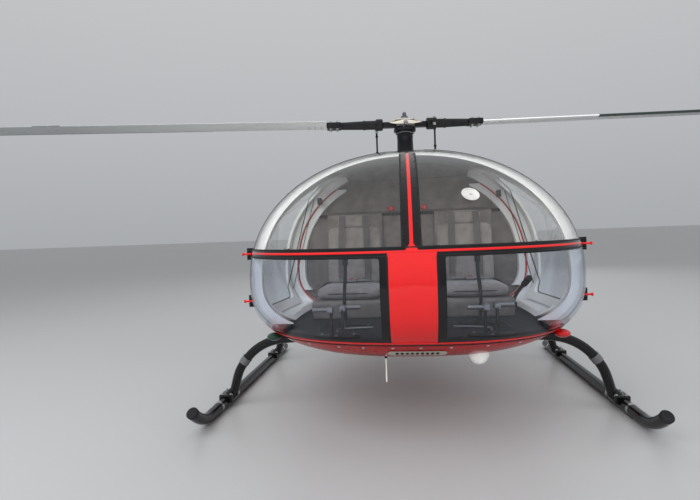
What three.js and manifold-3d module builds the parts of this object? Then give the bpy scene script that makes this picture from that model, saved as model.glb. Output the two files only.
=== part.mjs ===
// A light two-seat helicopter with a clear bubble cabin, parked on its skids.
// Millimetres, +Z up. The nose points to -Y, so the pilot's left hand is at +X.
// Everything is drawn with the mast axis at x = 0, y = 0 and the ground at z = 0.
// The last lines move the whole machine so that half its length lies at y = 0.

import * as THREE from 'three';
import { mergeVertices } from 'three/addons/utils/BufferGeometryUtils.js';
import Module from 'manifold-3d';

const wasm = await Module();
wasm.setup();

// Driving dimensions of the cabin bubble
const CABIN_WIDTH = 1930;
const BELLY_Z = 350;
const WIDEST_Z = 760;
const ROOF_Z = 1560;
const NOSE_Y = -1560;
const WIDEST_Y = -700;
const ROOF_PEAK_Y = -330;
const BELLY_FLAT_Y = -900;
const CABIN_REAR_Y = -130;
const REAR_WIDTH_RATIO = 0.92;
const PLAN_POWER = 2.3;
const TOP_POWER = 2.1;
const CHIN_POWER = 2.3;
const UPPER_SECTION_POWER = 2.2;
const LOWER_SECTION_POWER = 2.6;

// Panels that the bubble is split into
const FRAME_THICK = 18;
const GLASS_THICK = 6;
const SEAM = 0.4;
const WAIST_Z = [916, 954];
const RIM_Z = 505;
const FLOOR_Z = 470;
const POST_HALF = 40;
const NOSE_HALF = 108;
const ROOF_HALF = 430;
const FLOOR_THICK = 12;
const WALL_THICK = 18;
const HOOP = { deep: 46, front: 32, rear: 30 };
const PILLAR = { footY: -935, bendZ: 800, topY: -560, topZ: 1640, bowY: -925, bowZ: 1300 };

// Doors, as a side outline of y and z, with the hinge line just outside the skin
const DOOR_GAP = 7;
const DOOR_RAIL = 44;
const DOOR_CORNER = 70;
const DOOR_OUTLINE = [
  [-815, 525], [-868, 800], [-800, 1112], [-605, 1385], [-330, 1440], [-205, 1407], [-205, 525],
];
const HINGE = { x: 970, y: -884, z: [640, 925], radius: 9, length: 46 };
const RELIEF_TURNS = [0, -0.8, -2, -4, -8];

// Main rotor
const HUB_Z = 1860;
const ROTOR_RADIUS = 3800;
const ROTOR_TURN = 7;
const BLADE = { root: 600, chord: 190, thick: 24, lead: 0.3, pitch: 3, cone: 0.8 };
const MAST = { radius: 30, housing: 62, sides: 20, collarZ: 1582, housingTop: 1780, top: 1910, gap: 0.3 };
const CAP = { z: MAST.housingTop + 16, radius: 84 };
const SWASH = { low: 1600, high: 1618, inner: 86, outer: 118 };
const HORN = { x: 211, y: -106 };

// Tail
const BOOM = { startY: 900, endY: 4300, startZ: 1190, endZ: 1290, startR: 92, endR: 58, wall: 6 };
const TAIL_ROTOR = { y: 4420, z: 1330, x: 190, radius: 520, chord: 95, thick: 13 };

// Skid gear
const SKID = { x: 1145, radius: 30, toeY: -1330, heelY: 430, bendY: -1130, toeLift: 95 };
const SHOE = { half: 20, high: 12, lift: 4, ends: [[-1040, -740], [40, 340]] };
const CROSS_TUBE = { radius: 27, frontY: -880, rearY: 90, z: 415 };

const SIDES = [['left', 1], ['right', -1]];

const paint = (color, roughness, metalness = 0) =>
  new THREE.MeshStandardMaterial({ color, roughness, metalness });
const clear = (color, opacity) =>
  new THREE.MeshStandardMaterial({ color, roughness: 0.05, transparent: true, opacity });

const MATERIAL = {
  red: paint(0xc81414, 0.2),
  white: paint(0xe9e9e6, 0.3),
  black: paint(0x101012, 0.25),
  satinBlack: paint(0x1a1a1c, 0.5),
  glass: clear(0xb9c4c8, 0.35),
  smokeGlass: clear(0x2a3038, 0.6),
  taupe: paint(0x6d655f, 0.8),
  carpet: paint(0x2a2b2e, 0.95),
  alloy: paint(0xb8babc, 0.35, 0.9),
  steel: paint(0x6e7072, 0.4, 0.9),
  bladeWhite: paint(0xe2e4e4, 0.35),
  lampRed: paint(0xc01010, 0.15),
  lampGreen: paint(0x0d6b3a, 0.15),
  lampWhite: paint(0xf4f4ee, 0.2),
};

// Turns a closed three.js geometry into a solid, with its faces pointing out
function solidOf(geometry, matrix = new THREE.Matrix4()) {
  const bare = new THREE.BufferGeometry();
  bare.setAttribute('position', geometry.attributes.position.clone());
  if (geometry.index) bare.setIndex(geometry.index.clone());
  bare.applyMatrix4(matrix);
  const merged = mergeVertices(bare, 1e-3);
  const corners = merged.attributes.position.array;
  const faces = dropFlatFaces(merged.index.array);
  if (signedVolume(corners, faces) < 0) turnInsideOut(faces);
  return new wasm.Manifold(new wasm.Mesh({
    numProp: 3,
    vertProperties: Float32Array.from(corners),
    triVerts: Uint32Array.from(faces),
  }));
}

function dropFlatFaces(index) {
  const kept = [];
  for (let i = 0; i < index.length; i += 3) {
    const [a, b, c] = [index[i], index[i + 1], index[i + 2]];
    if (a !== b && b !== c && c !== a) kept.push(a, b, c);
  }
  return kept;
}

function signedVolume(corners, faces) {
  const [a, b, c] = [new THREE.Vector3(), new THREE.Vector3(), new THREE.Vector3()];
  let six = 0;
  for (let i = 0; i < faces.length; i += 3) {
    a.fromArray(corners, faces[i] * 3);
    b.fromArray(corners, faces[i + 1] * 3);
    c.fromArray(corners, faces[i + 2] * 3);
    six += a.dot(b.cross(c));
  }
  return six / 6;
}

function turnInsideOut(faces) {
  for (let i = 0; i < faces.length; i += 3) {
    [faces[i + 1], faces[i + 2]] = [faces[i + 2], faces[i + 1]];
  }
}

function meshOf(name, solid, material) {
  const flat = solid.getMesh();
  const geometry = new THREE.BufferGeometry();
  geometry.setAttribute('position', new THREE.Float32BufferAttribute(flat.vertProperties, 3));
  geometry.setIndex(Array.from(flat.triVerts));
  geometry.computeVertexNormals();
  const mesh = new THREE.Mesh(geometry, material);
  mesh.name = name;
  return mesh;
}

const joined = (solids) => solids.reduce((sum, next) => sum.add(next));
const mirrored = (solid) => solid.mirror([1, 0, 0]);
const onSide = (solid, side) => (side > 0 ? solid : mirrored(solid));

// Plain forms
function block([x0, x1], [y0, y1], [z0, z1]) {
  const box = new THREE.BoxGeometry(x1 - x0, y1 - y0, z1 - z0);
  return solidOf(box, new THREE.Matrix4().makeTranslation((x0 + x1) / 2, (y0 + y1) / 2, (z0 + z1) / 2));
}

function rod(from, to, radius, sides = 12, endRadius = radius) {
  const start = new THREE.Vector3(...from);
  const line = new THREE.Vector3(...to).sub(start);
  const length = line.length();
  const turn = new THREE.Quaternion().setFromUnitVectors(new THREE.Vector3(0, 1, 0), line.normalize());
  const middle = start.clone().addScaledVector(line, length / 2);
  const place = new THREE.Matrix4().compose(middle, turn, new THREE.Vector3(1, 1, 1));
  return solidOf(new THREE.CylinderGeometry(endRadius, radius, length, sides), place);
}

function ball(centre, radius, squash = [1, 1, 1], sides = 12) {
  const place = new THREE.Matrix4().compose(
    new THREE.Vector3(...centre), new THREE.Quaternion(), new THREE.Vector3(...squash));
  return solidOf(new THREE.SphereGeometry(radius, sides, sides / 2), place);
}

// A round tube along a smooth curve through the given points
function bentTube(points, radius, steps = 18, sides = 8) {
  const curve = new THREE.CatmullRomCurve3(points.map((p) => new THREE.Vector3(...p)), false, 'centripetal');
  const ring = new THREE.Shape();
  ring.absarc(0, 0, radius, 0, Math.PI * 2);
  const shape = { steps, curveSegments: sides / 2, bevelEnabled: false, extrudePath: curve };
  return solidOf(new THREE.ExtrudeGeometry(ring, shape));
}

// A prism of an outline: 'x' outlines hold y and z, 'y' outlines x and z, 'z' outlines x and y
function prism(outline, axis, low, high) {
  const shape = outline instanceof THREE.Shape
    ? outline : new THREE.Shape(outline.map(([a, b]) => new THREE.Vector2(a, b)));
  const body = new THREE.ExtrudeGeometry(shape, { depth: high - low, bevelEnabled: false, curveSegments: 4 });
  const place = new THREE.Matrix4();
  if (axis === 'x') place.set(0, 0, 1, low, 1, 0, 0, 0, 0, 1, 0, 0, 0, 0, 0, 1);
  if (axis === 'y') place.set(1, 0, 0, 0, 0, 0, -1, high, 0, 1, 0, 0, 0, 0, 0, 1);
  if (axis === 'z') place.makeTranslation(0, 0, low);
  return solidOf(body, place);
}

// A closed skin over rings of equal length, with a fan over each end
function loft(rings) {
  const count = rings[0].length;
  const corners = rings.flat(2);
  const faces = [];
  for (let r = 0; r + 1 < rings.length; r += 1) {
    for (let i = 0; i < count; i += 1) {
      const [a, b] = [r * count + i, r * count + ((i + 1) % count)];
      faces.push(a, b, a + count, b, b + count, a + count);
    }
  }
  for (const end of [0, rings.length - 1]) {
    const hub = corners.length / 3;
    const sum = rings[end].reduce((t, p) => t.map((v, k) => v + p[k] / count), [0, 0, 0]);
    corners.push(...sum);
    for (let i = 0; i < count; i += 1) {
      const [a, b] = [end * count + i, end * count + ((i + 1) % count)];
      faces.push(...(end === 0 ? [b, a, hub] : [a, b, hub]));
    }
  }
  const geometry = new THREE.BufferGeometry();
  geometry.setAttribute('position', new THREE.Float32BufferAttribute(corners, 3));
  geometry.setIndex(faces);
  return solidOf(geometry);
}

// An outline moved inwards by a gap and with its corners rounded
function roundedOutline(points, inset, corner) {
  const moved = insetOutline(points, inset);
  const shape = new THREE.Shape();
  moved.forEach((point, i) => {
    const before = moved[(i + moved.length - 1) % moved.length];
    const after = moved[(i + 1) % moved.length];
    const start = towards(point, before, corner);
    const stop = towards(point, after, corner);
    if (i === 0) shape.moveTo(...start);
    else shape.lineTo(...start);
    shape.quadraticCurveTo(...point, ...stop);
  });
  shape.closePath();
  return shape;
}

function towards([ax, ay], [bx, by], distance) {
  const length = Math.hypot(bx - ax, by - ay);
  const share = Math.min(distance, length * 0.45) / length;
  return [ax + (bx - ax) * share, ay + (by - ay) * share];
}

function insetOutline(points, inset) {
  const count = points.length;
  const area = points.reduce((s, [x, y], i) => {
    const [u, v] = points[(i + 1) % count];
    return s + x * v - u * y;
  }, 0);
  const inward = Math.sign(area) * inset;
  const edges = points.map(([x, y], i) => {
    const [u, v] = points[(i + 1) % count];
    const length = Math.hypot(u - x, v - y);
    const [nx, ny] = [-(v - y) / length, (u - x) / length];
    return { nx, ny, level: nx * x + ny * y + inward };
  });
  return points.map((_, i) => {
    const [a, b] = [edges[(i + count - 1) % count], edges[i]];
    const cross = a.nx * b.ny - a.ny * b.nx;
    return [(a.level * b.ny - b.level * a.ny) / cross, (a.nx * b.level - b.nx * a.level) / cross];
  });
}

// Share of full size that a rounded front still has at a distance ahead of its widest station
function fullness(y, widestY, length, power) {
  const ahead = Math.max(0, Math.min(1, (widestY - y) / length));
  return (1 - ahead ** power) ** (1 / power);
}

// One cross-section of the bubble, a given depth inside its outer skin
function bubbleRing(y, depth, count) {
  const reach = (from) => from - NOSE_Y - depth;
  const wide = fullness(y, WIDEST_Y, reach(WIDEST_Y), PLAN_POWER);
  const behind = Math.max(0, (y - WIDEST_Y) / (CABIN_REAR_Y - WIDEST_Y));
  const taper = 1 - (1 - REAR_WIDTH_RATIO) * behind ** 2;
  const half = (CABIN_WIDTH / 2 * taper - depth) * wide;
  const up = (ROOF_Z - depth - WIDEST_Z) * fullness(y, ROOF_PEAK_Y, reach(ROOF_PEAK_Y), TOP_POWER);
  const down = (WIDEST_Z - BELLY_Z - depth) * fullness(y, BELLY_FLAT_Y, reach(BELLY_FLAT_Y), CHIN_POWER);
  return Array.from({ length: count }, (_, i) => {
    const angle = (i / count) * Math.PI * 2;
    const [c, s] = [Math.cos(angle), Math.sin(angle)];
    const power = 2 / (s > 0 ? UPPER_SECTION_POWER : LOWER_SECTION_POWER);
    const x = Math.sign(c) * Math.abs(c) ** power * half;
    const z = WIDEST_Z + Math.sign(s) * Math.abs(s) ** power * (s > 0 ? up : down);
    return [x, y, z];
  });
}

const BUBBLE_SIDES = 36;
const BUBBLE_STATIONS = 14;

function bubble(depth, rearY = CABIN_REAR_Y) {
  const front = NOSE_Y + depth;
  const rings = [];
  for (let i = 0; i <= BUBBLE_STATIONS; i += 1) {
    const y = front + (rearY - front) * (i / BUBBLE_STATIONS) ** 2;
    rings.push(bubbleRing(y, depth, BUBBLE_SIDES));
  }
  return loft(rings);
}

// The bubble's skins: the outer form, the frame's inner face and the glass
const outerForm = bubble(0);
const frameSkin = outerForm.subtract(bubble(FRAME_THICK, CABIN_REAR_Y + 1));
const glassSkin = outerForm.subtract(bubble(GLASS_THICK, CABIN_REAR_Y + 1));
const inside = bubble(FRAME_THICK + SEAM);

const FAR = 3000;
const FLOOR_TOP = FLOOR_Z + FLOOR_THICK + SEAM;
const WALL_FRONT_Y = CABIN_REAR_Y - WALL_THICK;

// Everything ahead of the pillar curve, as seen from the side, moved aft by a shift
function aheadOfPillar(shift) {
  const outline = new THREE.Shape();
  outline.moveTo(-FAR, 0);
  outline.lineTo(PILLAR.footY + shift, 0);
  outline.lineTo(PILLAR.footY + shift, PILLAR.bendZ);
  outline.quadraticCurveTo(PILLAR.bowY + shift, PILLAR.bowZ, PILLAR.topY + shift, PILLAR.topZ);
  outline.lineTo(PILLAR.topY + shift, FAR);
  outline.lineTo(-FAR, FAR);
  outline.closePath();
  return prism(outline, 'x', -FAR, FAR);
}

const slab = (low, high) => block([-FAR, FAR], [-FAR, FAR], [low, high]);
const middle = (half) => block([-half, half], [-FAR, FAR], [0, FAR]);

function noseSkins() {
  const front = aheadOfPillar(-SEAM);
  const frameFront = frameSkin.intersect(front);
  const glassFront = glassSkin.intersect(front);
  const above = glassFront.intersect(slab(WAIST_Z[1] + SEAM, FAR)).subtract(middle(POST_HALF + SEAM));
  const below = glassFront.intersect(slab(RIM_Z + SEAM, WAIST_Z[0] - SEAM))
    .subtract(middle(NOSE_HALF + SEAM));
  const right = block([-FAR, 0], [-FAR, FAR], [0, FAR]);
  return [
    ['windshield_left', above.subtract(right), MATERIAL.glass],
    ['windshield_right', above.intersect(right), MATERIAL.glass],
    ['chin_window_left', below.subtract(right), MATERIAL.smokeGlass],
    ['chin_window_right', below.intersect(right), MATERIAL.smokeGlass],
    ['waist_band', frameFront.intersect(slab(...WAIST_Z)), MATERIAL.black],
    ['centre_post', frameFront.intersect(slab(WAIST_Z[1] + SEAM, FAR)).intersect(middle(POST_HALF)),
      MATERIAL.black],
    ['nose_panel', frameFront.intersect(slab(RIM_Z + SEAM, WAIST_Z[0] - SEAM))
      .intersect(middle(NOSE_HALF)), MATERIAL.red],
  ];
}

const doorHole = () => prism(roundedOutline(DOOR_OUTLINE, 0, DOOR_CORNER), 'x', 0, FAR);
const doorLeaf = () => prism(roundedOutline(DOOR_OUTLINE, DOOR_GAP, DOOR_CORNER), 'x', 0, FAR);
const doorLight = (inset) =>
  prism(roundedOutline(DOOR_OUTLINE, DOOR_GAP + DOOR_RAIL + inset, DOOR_CORNER), 'x', 0, FAR);

function turnedOnHinge(solid, degrees) {
  return solid.translate([-HINGE.x, -HINGE.y, 0]).rotate([0, 0, degrees]).translate([HINGE.x, HINGE.y, 0]);
}

// What the left door's rim sweeps as it starts to open, with room around it
function doorRelief() {
  const rim = bubble(-5).subtract(bubble(FRAME_THICK + 7, CABIN_REAR_Y + 1))
    .intersect(prism(roundedOutline(DOOR_OUTLINE, 1, DOOR_CORNER), 'x', 0, FAR))
    .subtract(doorLight(0));
  return joined(RELIEF_TURNS.map((turn) => turnedOnHinge(rim, turn)));
}

// What stands inward from the skin: hoops along the pillar and the rear wall, and the door's jamb
function hoops() {
  const ring = bubble(FRAME_THICK - 2).subtract(bubble(FRAME_THICK + HOOP.deep, CABIN_REAR_Y + 1))
    .intersect(block([ROOF_HALF + SEAM, FAR], [-FAR, FAR], [RIM_Z + SEAM, FAR]));
  const front = ring.intersect(aheadOfPillar(HOOP.front)).subtract(aheadOfPillar(0));
  const rear = block([0, FAR], [WALL_FRONT_Y - SEAM - HOOP.rear, WALL_FRONT_Y - SEAM], [0, FAR]);
  const jamb = prism(roundedOutline(DOOR_OUTLINE, -HOOP.rear, DOOR_CORNER), 'x', 0, FAR).subtract(doorHole());
  return joined([front, ring.intersect(rear), ring.intersect(jamb)]);
}

function cabinShell() {
  const behind = frameSkin.subtract(aheadOfPillar(0)).intersect(slab(RIM_Z + SEAM, FAR));
  const roof = behind.intersect(slab(WIDEST_Z, FAR)).intersect(middle(ROOF_HALF));
  const side = behind.subtract(middle(ROOF_HALF + SEAM)).intersect(block([0, FAR], [-FAR, FAR], [0, FAR]));
  const frame = joined([side.subtract(doorHole()).subtract(doorRelief()), hingeLugs(), hoops()]);
  const tub = frameSkin.intersect(slab(0, RIM_Z)).subtract(crossTube(CROSS_TUBE.frontY, SEAM));
  const floorRoom = block([-FAR, FAR], [-FAR, WALL_FRONT_Y - SEAM], [FLOOR_Z, FLOOR_Z + FLOOR_THICK]);
  return [
    ['roof_panel', roof, MATERIAL.white],
    ['door_frame_left', frame, MATERIAL.white],
    ['door_frame_right', mirrored(frame), MATERIAL.white],
    ['belly_tub', tub, MATERIAL.red],
    ['cabin_floor', inside.intersect(floorRoom), MATERIAL.carpet],
    ['rear_wall', inside.intersect(block([-FAR, FAR], [WALL_FRONT_Y, CABIN_REAR_Y], [FLOOR_Z, FAR])),
      MATERIAL.taupe],
  ];
}

// Each hinge has an arm on the door and two lugs on the pillar, one above and one below it
const ARM = { x: [950, 965], y: [HINGE.y - 4, HINGE.y + 88], footX: 920, footY: HINGE.y + 62 };
const LUG = { x: 910, half: 9, high: 12, gap: 0.5 };

function hingeArms() {
  const half = HINGE.length / 2;
  return joined(HINGE.z.map((z) => joined([
    block(ARM.x, ARM.y, [z - half, z + half]),
    block([ARM.footX, ARM.x[1]], [ARM.footY, ARM.y[1]], [z - half, z + half]),
    rod([HINGE.x, HINGE.y, z - half], [HINGE.x, HINGE.y, z + half], HINGE.radius, 8),
  ])));
}

function hingeLugs() {
  const reach = HINGE.length / 2 + LUG.gap;
  const above = HINGE.z.map((z) => [z + reach, z + reach + LUG.high]);
  const below = HINGE.z.map((z) => [z - reach - LUG.high, z - reach]);
  return joined([...above, ...below].map(([low, high]) => joined([
    block([LUG.x, HINGE.x], [HINGE.y - LUG.half, HINGE.y + LUG.half], [low, high]),
    rod([HINGE.x, HINGE.y, low], [HINGE.x, HINGE.y, high], HINGE.radius, 8),
  ])));
}

// Doors: a rim with a clear pane
function doors() {
  const rim = frameSkin.intersect(doorLeaf()).subtract(doorLight(0)).add(hingeArms());
  const pane = glassSkin.intersect(doorLight(SEAM));
  return SIDES.flatMap(([name, side]) => [
    [`door_${name}`, onSide(rim, side), MATERIAL.white],
    [`door_window_${name}`, onSide(pane, side), MATERIAL.glass],
  ]);
}

// Seats: a cushion and a back for each place, set against the rear wall
const SEAT = { x: 395, half: 235, backTop: 1180 };

function seats() {
  const outline = [[-700, FLOOR_TOP], [-720, 640], [-690, 690], [-330, 650], [-300, 655],
    [-225, SEAT.backTop], [-165, SEAT.backTop], [-165, FLOOR_TOP]];
  const seat = prism(roundedOutline(outline, 0, 26), 'x', SEAT.x - SEAT.half, SEAT.x + SEAT.half);
  return SIDES.map(([name, side]) => [`seat_${name}`, onSide(seat, side), MATERIAL.taupe]);
}

// A console behind the nose panel, up to the instrument head
function instrumentConsole() {
  const outline = [[-1440, FLOOR_TOP], [-1485, 830], [-1370, 915], [-1300, 915], [-1215, 700],
    [-1180, FLOOR_TOP]];
  const stand = prism(roundedOutline(outline, 0, 20), 'x', -95, 95);
  return [['instrument_console', stand.intersect(bubble(FRAME_THICK + 8)), MATERIAL.satinBlack]];
}

// Pedals: an oval plate, two posts and two foot bars for each place
const PEDAL = { y: -1190, plateHalf: 120, gap: 60, height: 150, bar: 92 };

function pedals() {
  const base = FLOOR_TOP;
  const oval = new THREE.Shape();
  oval.absellipse(SEAT.x, PEDAL.y, PEDAL.plateHalf, 45, 0, Math.PI * 2);
  const arms = [[-1, -35], [1, 35]].map(([way, lead]) => {
    const x = SEAT.x + way * PEDAL.gap / 2;
    const barY = PEDAL.y + lead;
    const barZ = base + PEDAL.height;
    const post = block([x - 7, x + 7], [PEDAL.y - 14, PEDAL.y + 14], [base + 5, barZ]);
    const head = block([x - 14, x + 14 + way * 4], [Math.min(PEDAL.y, barY) - 14, Math.max(PEDAL.y, barY) + 14],
      [barZ - 14, barZ + 14]);
    const bar = rod([x, barY, barZ], [x + way * PEDAL.bar, barY, barZ], 11, 12);
    return post.add(head).add(bar);
  });
  const set = joined([prism(oval, 'z', base, base + 12), ...arms]);
  return SIDES.map(([name, side]) => [`pedals_${name}`, onSide(set, side), MATERIAL.alloy]);
}

// Cyclic sticks stand ahead of the seats, collective levers lie at the left of each seat
function sticks() {
  const base = FLOOR_TOP;
  const cyclic = joined([
    rod([0, 0, base], [0, 0, base + 26], 34),
    bentTube([[0, 0, base + 10], [0, -60, base + 150], [0, 20, base + 300], [0, 30, base + 430]], 11, 9, 8),
    rod([0, 30, base + 350], [0, 38, base + 450], 18, 12),
  ]);
  const lever = joined([
    block([-22, 22], [-40, 40], [base, base + 60]),
    bentTube([[0, 0, base + 40], [0, -120, base + 120], [0, -330, base + 215]], 11, 7, 8),
    rod([0, -300, base + 202], [0, -430, base + 256], 19, 12),
  ]);
  const places = { left: [SEAT.x, 672], right: [-SEAT.x, 20] };
  return SIDES.flatMap(([name]) => [
    [`cyclic_${name}`, cyclic.translate([places[name][0], -830, 0]), MATERIAL.satinBlack],
    [`collective_${name}`, lever.translate([places[name][1], -440, 0]), MATERIAL.satinBlack],
  ]);
}

// Engine cowl behind the cabin, a hollow shell that runs back to the tail boom
const COWL = { thick: 12, sides: 30, stations: [
  // y, half width, top z, bottom z
  [CABIN_REAR_Y + SEAM, 882, 1556, 352],
  [60, 836, 1528, 358],
  [300, 668, 1456, 420],
  [520, 430, 1400, 590],
  [740, 240, 1335, 850],
  [930, 125, 1300, 1075],
] };

function cowlSolid(depth) {
  const rings = COWL.stations.map(([y, half, top, bottom], i) => {
    const [cut, mid] = [depth, (top + bottom) / 2 - (i === 0 ? 214 : 214 * (1 - i / 5))];
    return Array.from({ length: COWL.sides }, (_, k) => {
      const angle = (k / COWL.sides) * Math.PI * 2;
      const [c, s] = [Math.cos(angle), Math.sin(angle)];
      const power = 2 / (2.2 - 0.04 * i);
      const x = Math.sign(c) * Math.abs(c) ** power * (half - cut);
      const reach = s > 0 ? top - cut - mid : mid - bottom - cut;
      return [x, y, mid + Math.sign(s) * Math.abs(s) ** power * reach];
    });
  });
  return loft(rings);
}

const COWL_REAR_Y = COWL.stations.at(-1)[0];
const VENT = { y: [40, 250], z: [760, 1120], slats: 5, slat: 22 };

function engineBay() {
  const hollow = cowlSolid(COWL.thick).intersect(block([-FAR, FAR], [-FAR, COWL_REAR_Y - 25], [0, FAR]));
  const rearTube = crossTube(CROSS_TUBE.rearY, SEAM);
  const mastHole = rod([0, 0, 1200], [0, 0, MAST.housingTop], MAST.housing + 1, MAST.sides);
  let shell = cowlSolid(0).subtract(hollow).subtract(rearTube).subtract(mastHole);
  const pitch = (VENT.z[1] - VENT.z[0]) / VENT.slats;
  for (const [, side] of SIDES) {
    for (let i = 0; i < VENT.slats; i += 1) {
      const z = VENT.z[0] + i * pitch;
      const x = side > 0 ? [400, FAR] : [-FAR, -400];
      shell = shell.subtract(block(x, VENT.y, [z, z + pitch - VENT.slat]));
    }
  }
  const engine = block([-230, 230], [-100, 290], [480, 880]);
  const rails = [-190, 190].map((x) => block([x - 25, x + 25], [CABIN_REAR_Y + 2, 290], [380, 479.6]));
  const bearer = joined([...rails, block([-190, 190], [60, 110], [380, 479.6])])
    .intersect(cowlSolid(COWL.thick + SEAM)).subtract(rearTube);
  return [
    ['engine_cowl', shell, MATERIAL.white],
    ['engine_block', engine, MATERIAL.steel],
    ['engine_bearers', bearer, MATERIAL.black],
  ];
}

// Radius of a many-sided bore that a many-sided shaft can turn in without touching it
function boreRadius(shaft, sides) {
  return (shaft + MAST.gap) / Math.cos(Math.PI / sides);
}

// The mast stands in a black housing over the gearbox, with the swashplate above it
function mastParts() {
  const bore = rod([0, 0, 1400], [0, 0, MAST.housingTop + 10], boreRadius(MAST.radius, MAST.sides), MAST.sides);
  const housing = joined([
    rod([0, 0, 1300], [0, 0, MAST.housingTop], MAST.housing, MAST.sides),
    rod([0, 0, MAST.collarZ], [0, 0, MAST.collarZ + 32], MAST.housing + 16, MAST.sides),
  ]).subtract(bore);
  const gearbox = block([-150, 150], [-110, 180], [1000, 1299.6]);
  const drive = joined([rod([0, 120, 880.4], [0, 120, 1001], 40, 16)]);
  return [
    ['mast_housing', housing, MATERIAL.black],
    ['main_gearbox', gearbox.add(drive), MATERIAL.steel],
  ];
}

// Main rotor: mast, hub bar, grips, swashplate, pitch links and two blades
const GRIP = { from: 150, to: 640, radius: 34 };

function bladeSection(chord, thick, lead) {
  const count = 9;
  const upper = [];
  for (let i = 0; i <= count; i += 1) {
    const u = 0.5 - 0.5 * Math.cos((i / count) * Math.PI);
    const share = 0.2969 * Math.sqrt(u) - 0.126 * u - 0.3516 * u * u + 0.2843 * u ** 3 - 0.1036 * u ** 4;
    upper.push([(u - lead) * chord, Math.max(5 * thick * share, 0.8)]);
  }
  const lower = upper.slice(1, -1).reverse().map(([a, b]) => [a, -b]);
  return [...upper, [upper[count][0], -0.8], ...lower];
}

function blade(from, to, { chord, thick, lead, pitch }) {
  const outline = bladeSection(chord, thick, lead);
  return prism(outline, 'x', from, to).rotate([pitch, 0, 0]);
}

function mainRotor() {
  const mast = rod([0, 0, 1402], [0, 0, MAST.top], MAST.radius, MAST.sides);
  const collars = [
    rod([0, 0, CAP.z - 14], [0, 0, CAP.z], 70, MAST.sides),
    rod([0, 0, CAP.z], [0, 0, CAP.z + 6], 56, MAST.sides),
    rod([0, 0, CAP.z + 6], [0, 0, CAP.z + 30], CAP.radius, MAST.sides),
  ];
  const teeter = joined([
    block([-70, 70], [-58, 58], [HUB_Z - 26, HUB_Z + 26]),
    block([-170, 170], [-26, 26], [HUB_Z - 24, HUB_Z + 16]),
    rod([0, -74, HUB_Z], [0, 74, HUB_Z], 16, 12),
    rod([0, 0, MAST.top - 1], [0, 0, MAST.top + 40], 15, 12),
  ]);
  const spindle = joined([mast, ...collars, teeter]);
  const grip = joined([
    rod([170.4, 0, HUB_Z], [GRIP.to - 60, 0, HUB_Z], GRIP.radius, 16, GRIP.radius - 8),
    rod([180, 0, HUB_Z], [220, 0, HUB_Z], GRIP.radius + 10, 12),
    block([BLADE.root - 90, BLADE.root - 0.6], [-48, 48], [HUB_Z - 22, HUB_Z + 22]),
    block([196, 226], [-120, 0], [HUB_Z - 14, HUB_Z + 14]),
  ]);
  const link = joined([
    rod([HORN.x, HORN.y, SWASH.high + SEAM], [HORN.x, HORN.y, HUB_Z - 14.4], 8, 10),
    rod([HORN.x, HORN.y, SWASH.high + SEAM], [HORN.x, HORN.y, SWASH.high + 26], 14, 12),
    rod([HORN.x, HORN.y, HUB_Z - 44], [HORN.x, HORN.y, HUB_Z - 14.4], 14, 12),
  ]);
  const arm = [[0, -24], [HORN.x + 12, HORN.y - 24], [HORN.x + 24, HORN.y + 6], [40, 40]];
  const reach = prism(roundedOutline(arm, 0, 12), 'z', SWASH.low, SWASH.high);
  const swashplate = joined([rod([0, 0, SWASH.low], [0, 0, SWASH.high], SWASH.outer, 24), reach,
    reach.rotate([0, 0, 180])])
    .subtract(rod([0, 0, SWASH.low - 5], [0, 0, SWASH.high + 5], SWASH.inner, 24));
  const wing = blade(BLADE.root, ROTOR_RADIUS, BLADE).translate([-BLADE.root, 0, 0])
    .rotate([0, -BLADE.cone, 0]).translate([BLADE.root, 0, HUB_Z]);
  const turned = (solid) => solid.rotate([0, 0, 180]);
  const pieces = [
    ['rotor_mast_and_hub', spindle, MATERIAL.alloy],
    ['blade_grip_1', grip, MATERIAL.satinBlack],
    ['blade_grip_2', turned(grip), MATERIAL.satinBlack],
    ['swashplate', swashplate, MATERIAL.alloy],
    ['pitch_link_1', link, MATERIAL.satinBlack],
    ['pitch_link_2', turned(link), MATERIAL.satinBlack],
    ['main_blade_1', wing, MATERIAL.bladeWhite],
    ['main_blade_2', turned(wing), MATERIAL.bladeWhite],
  ];
  return pieces.map(([name, solid, material]) => [name, solid.rotate([0, 0, ROTOR_TURN]), material]);
}

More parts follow.
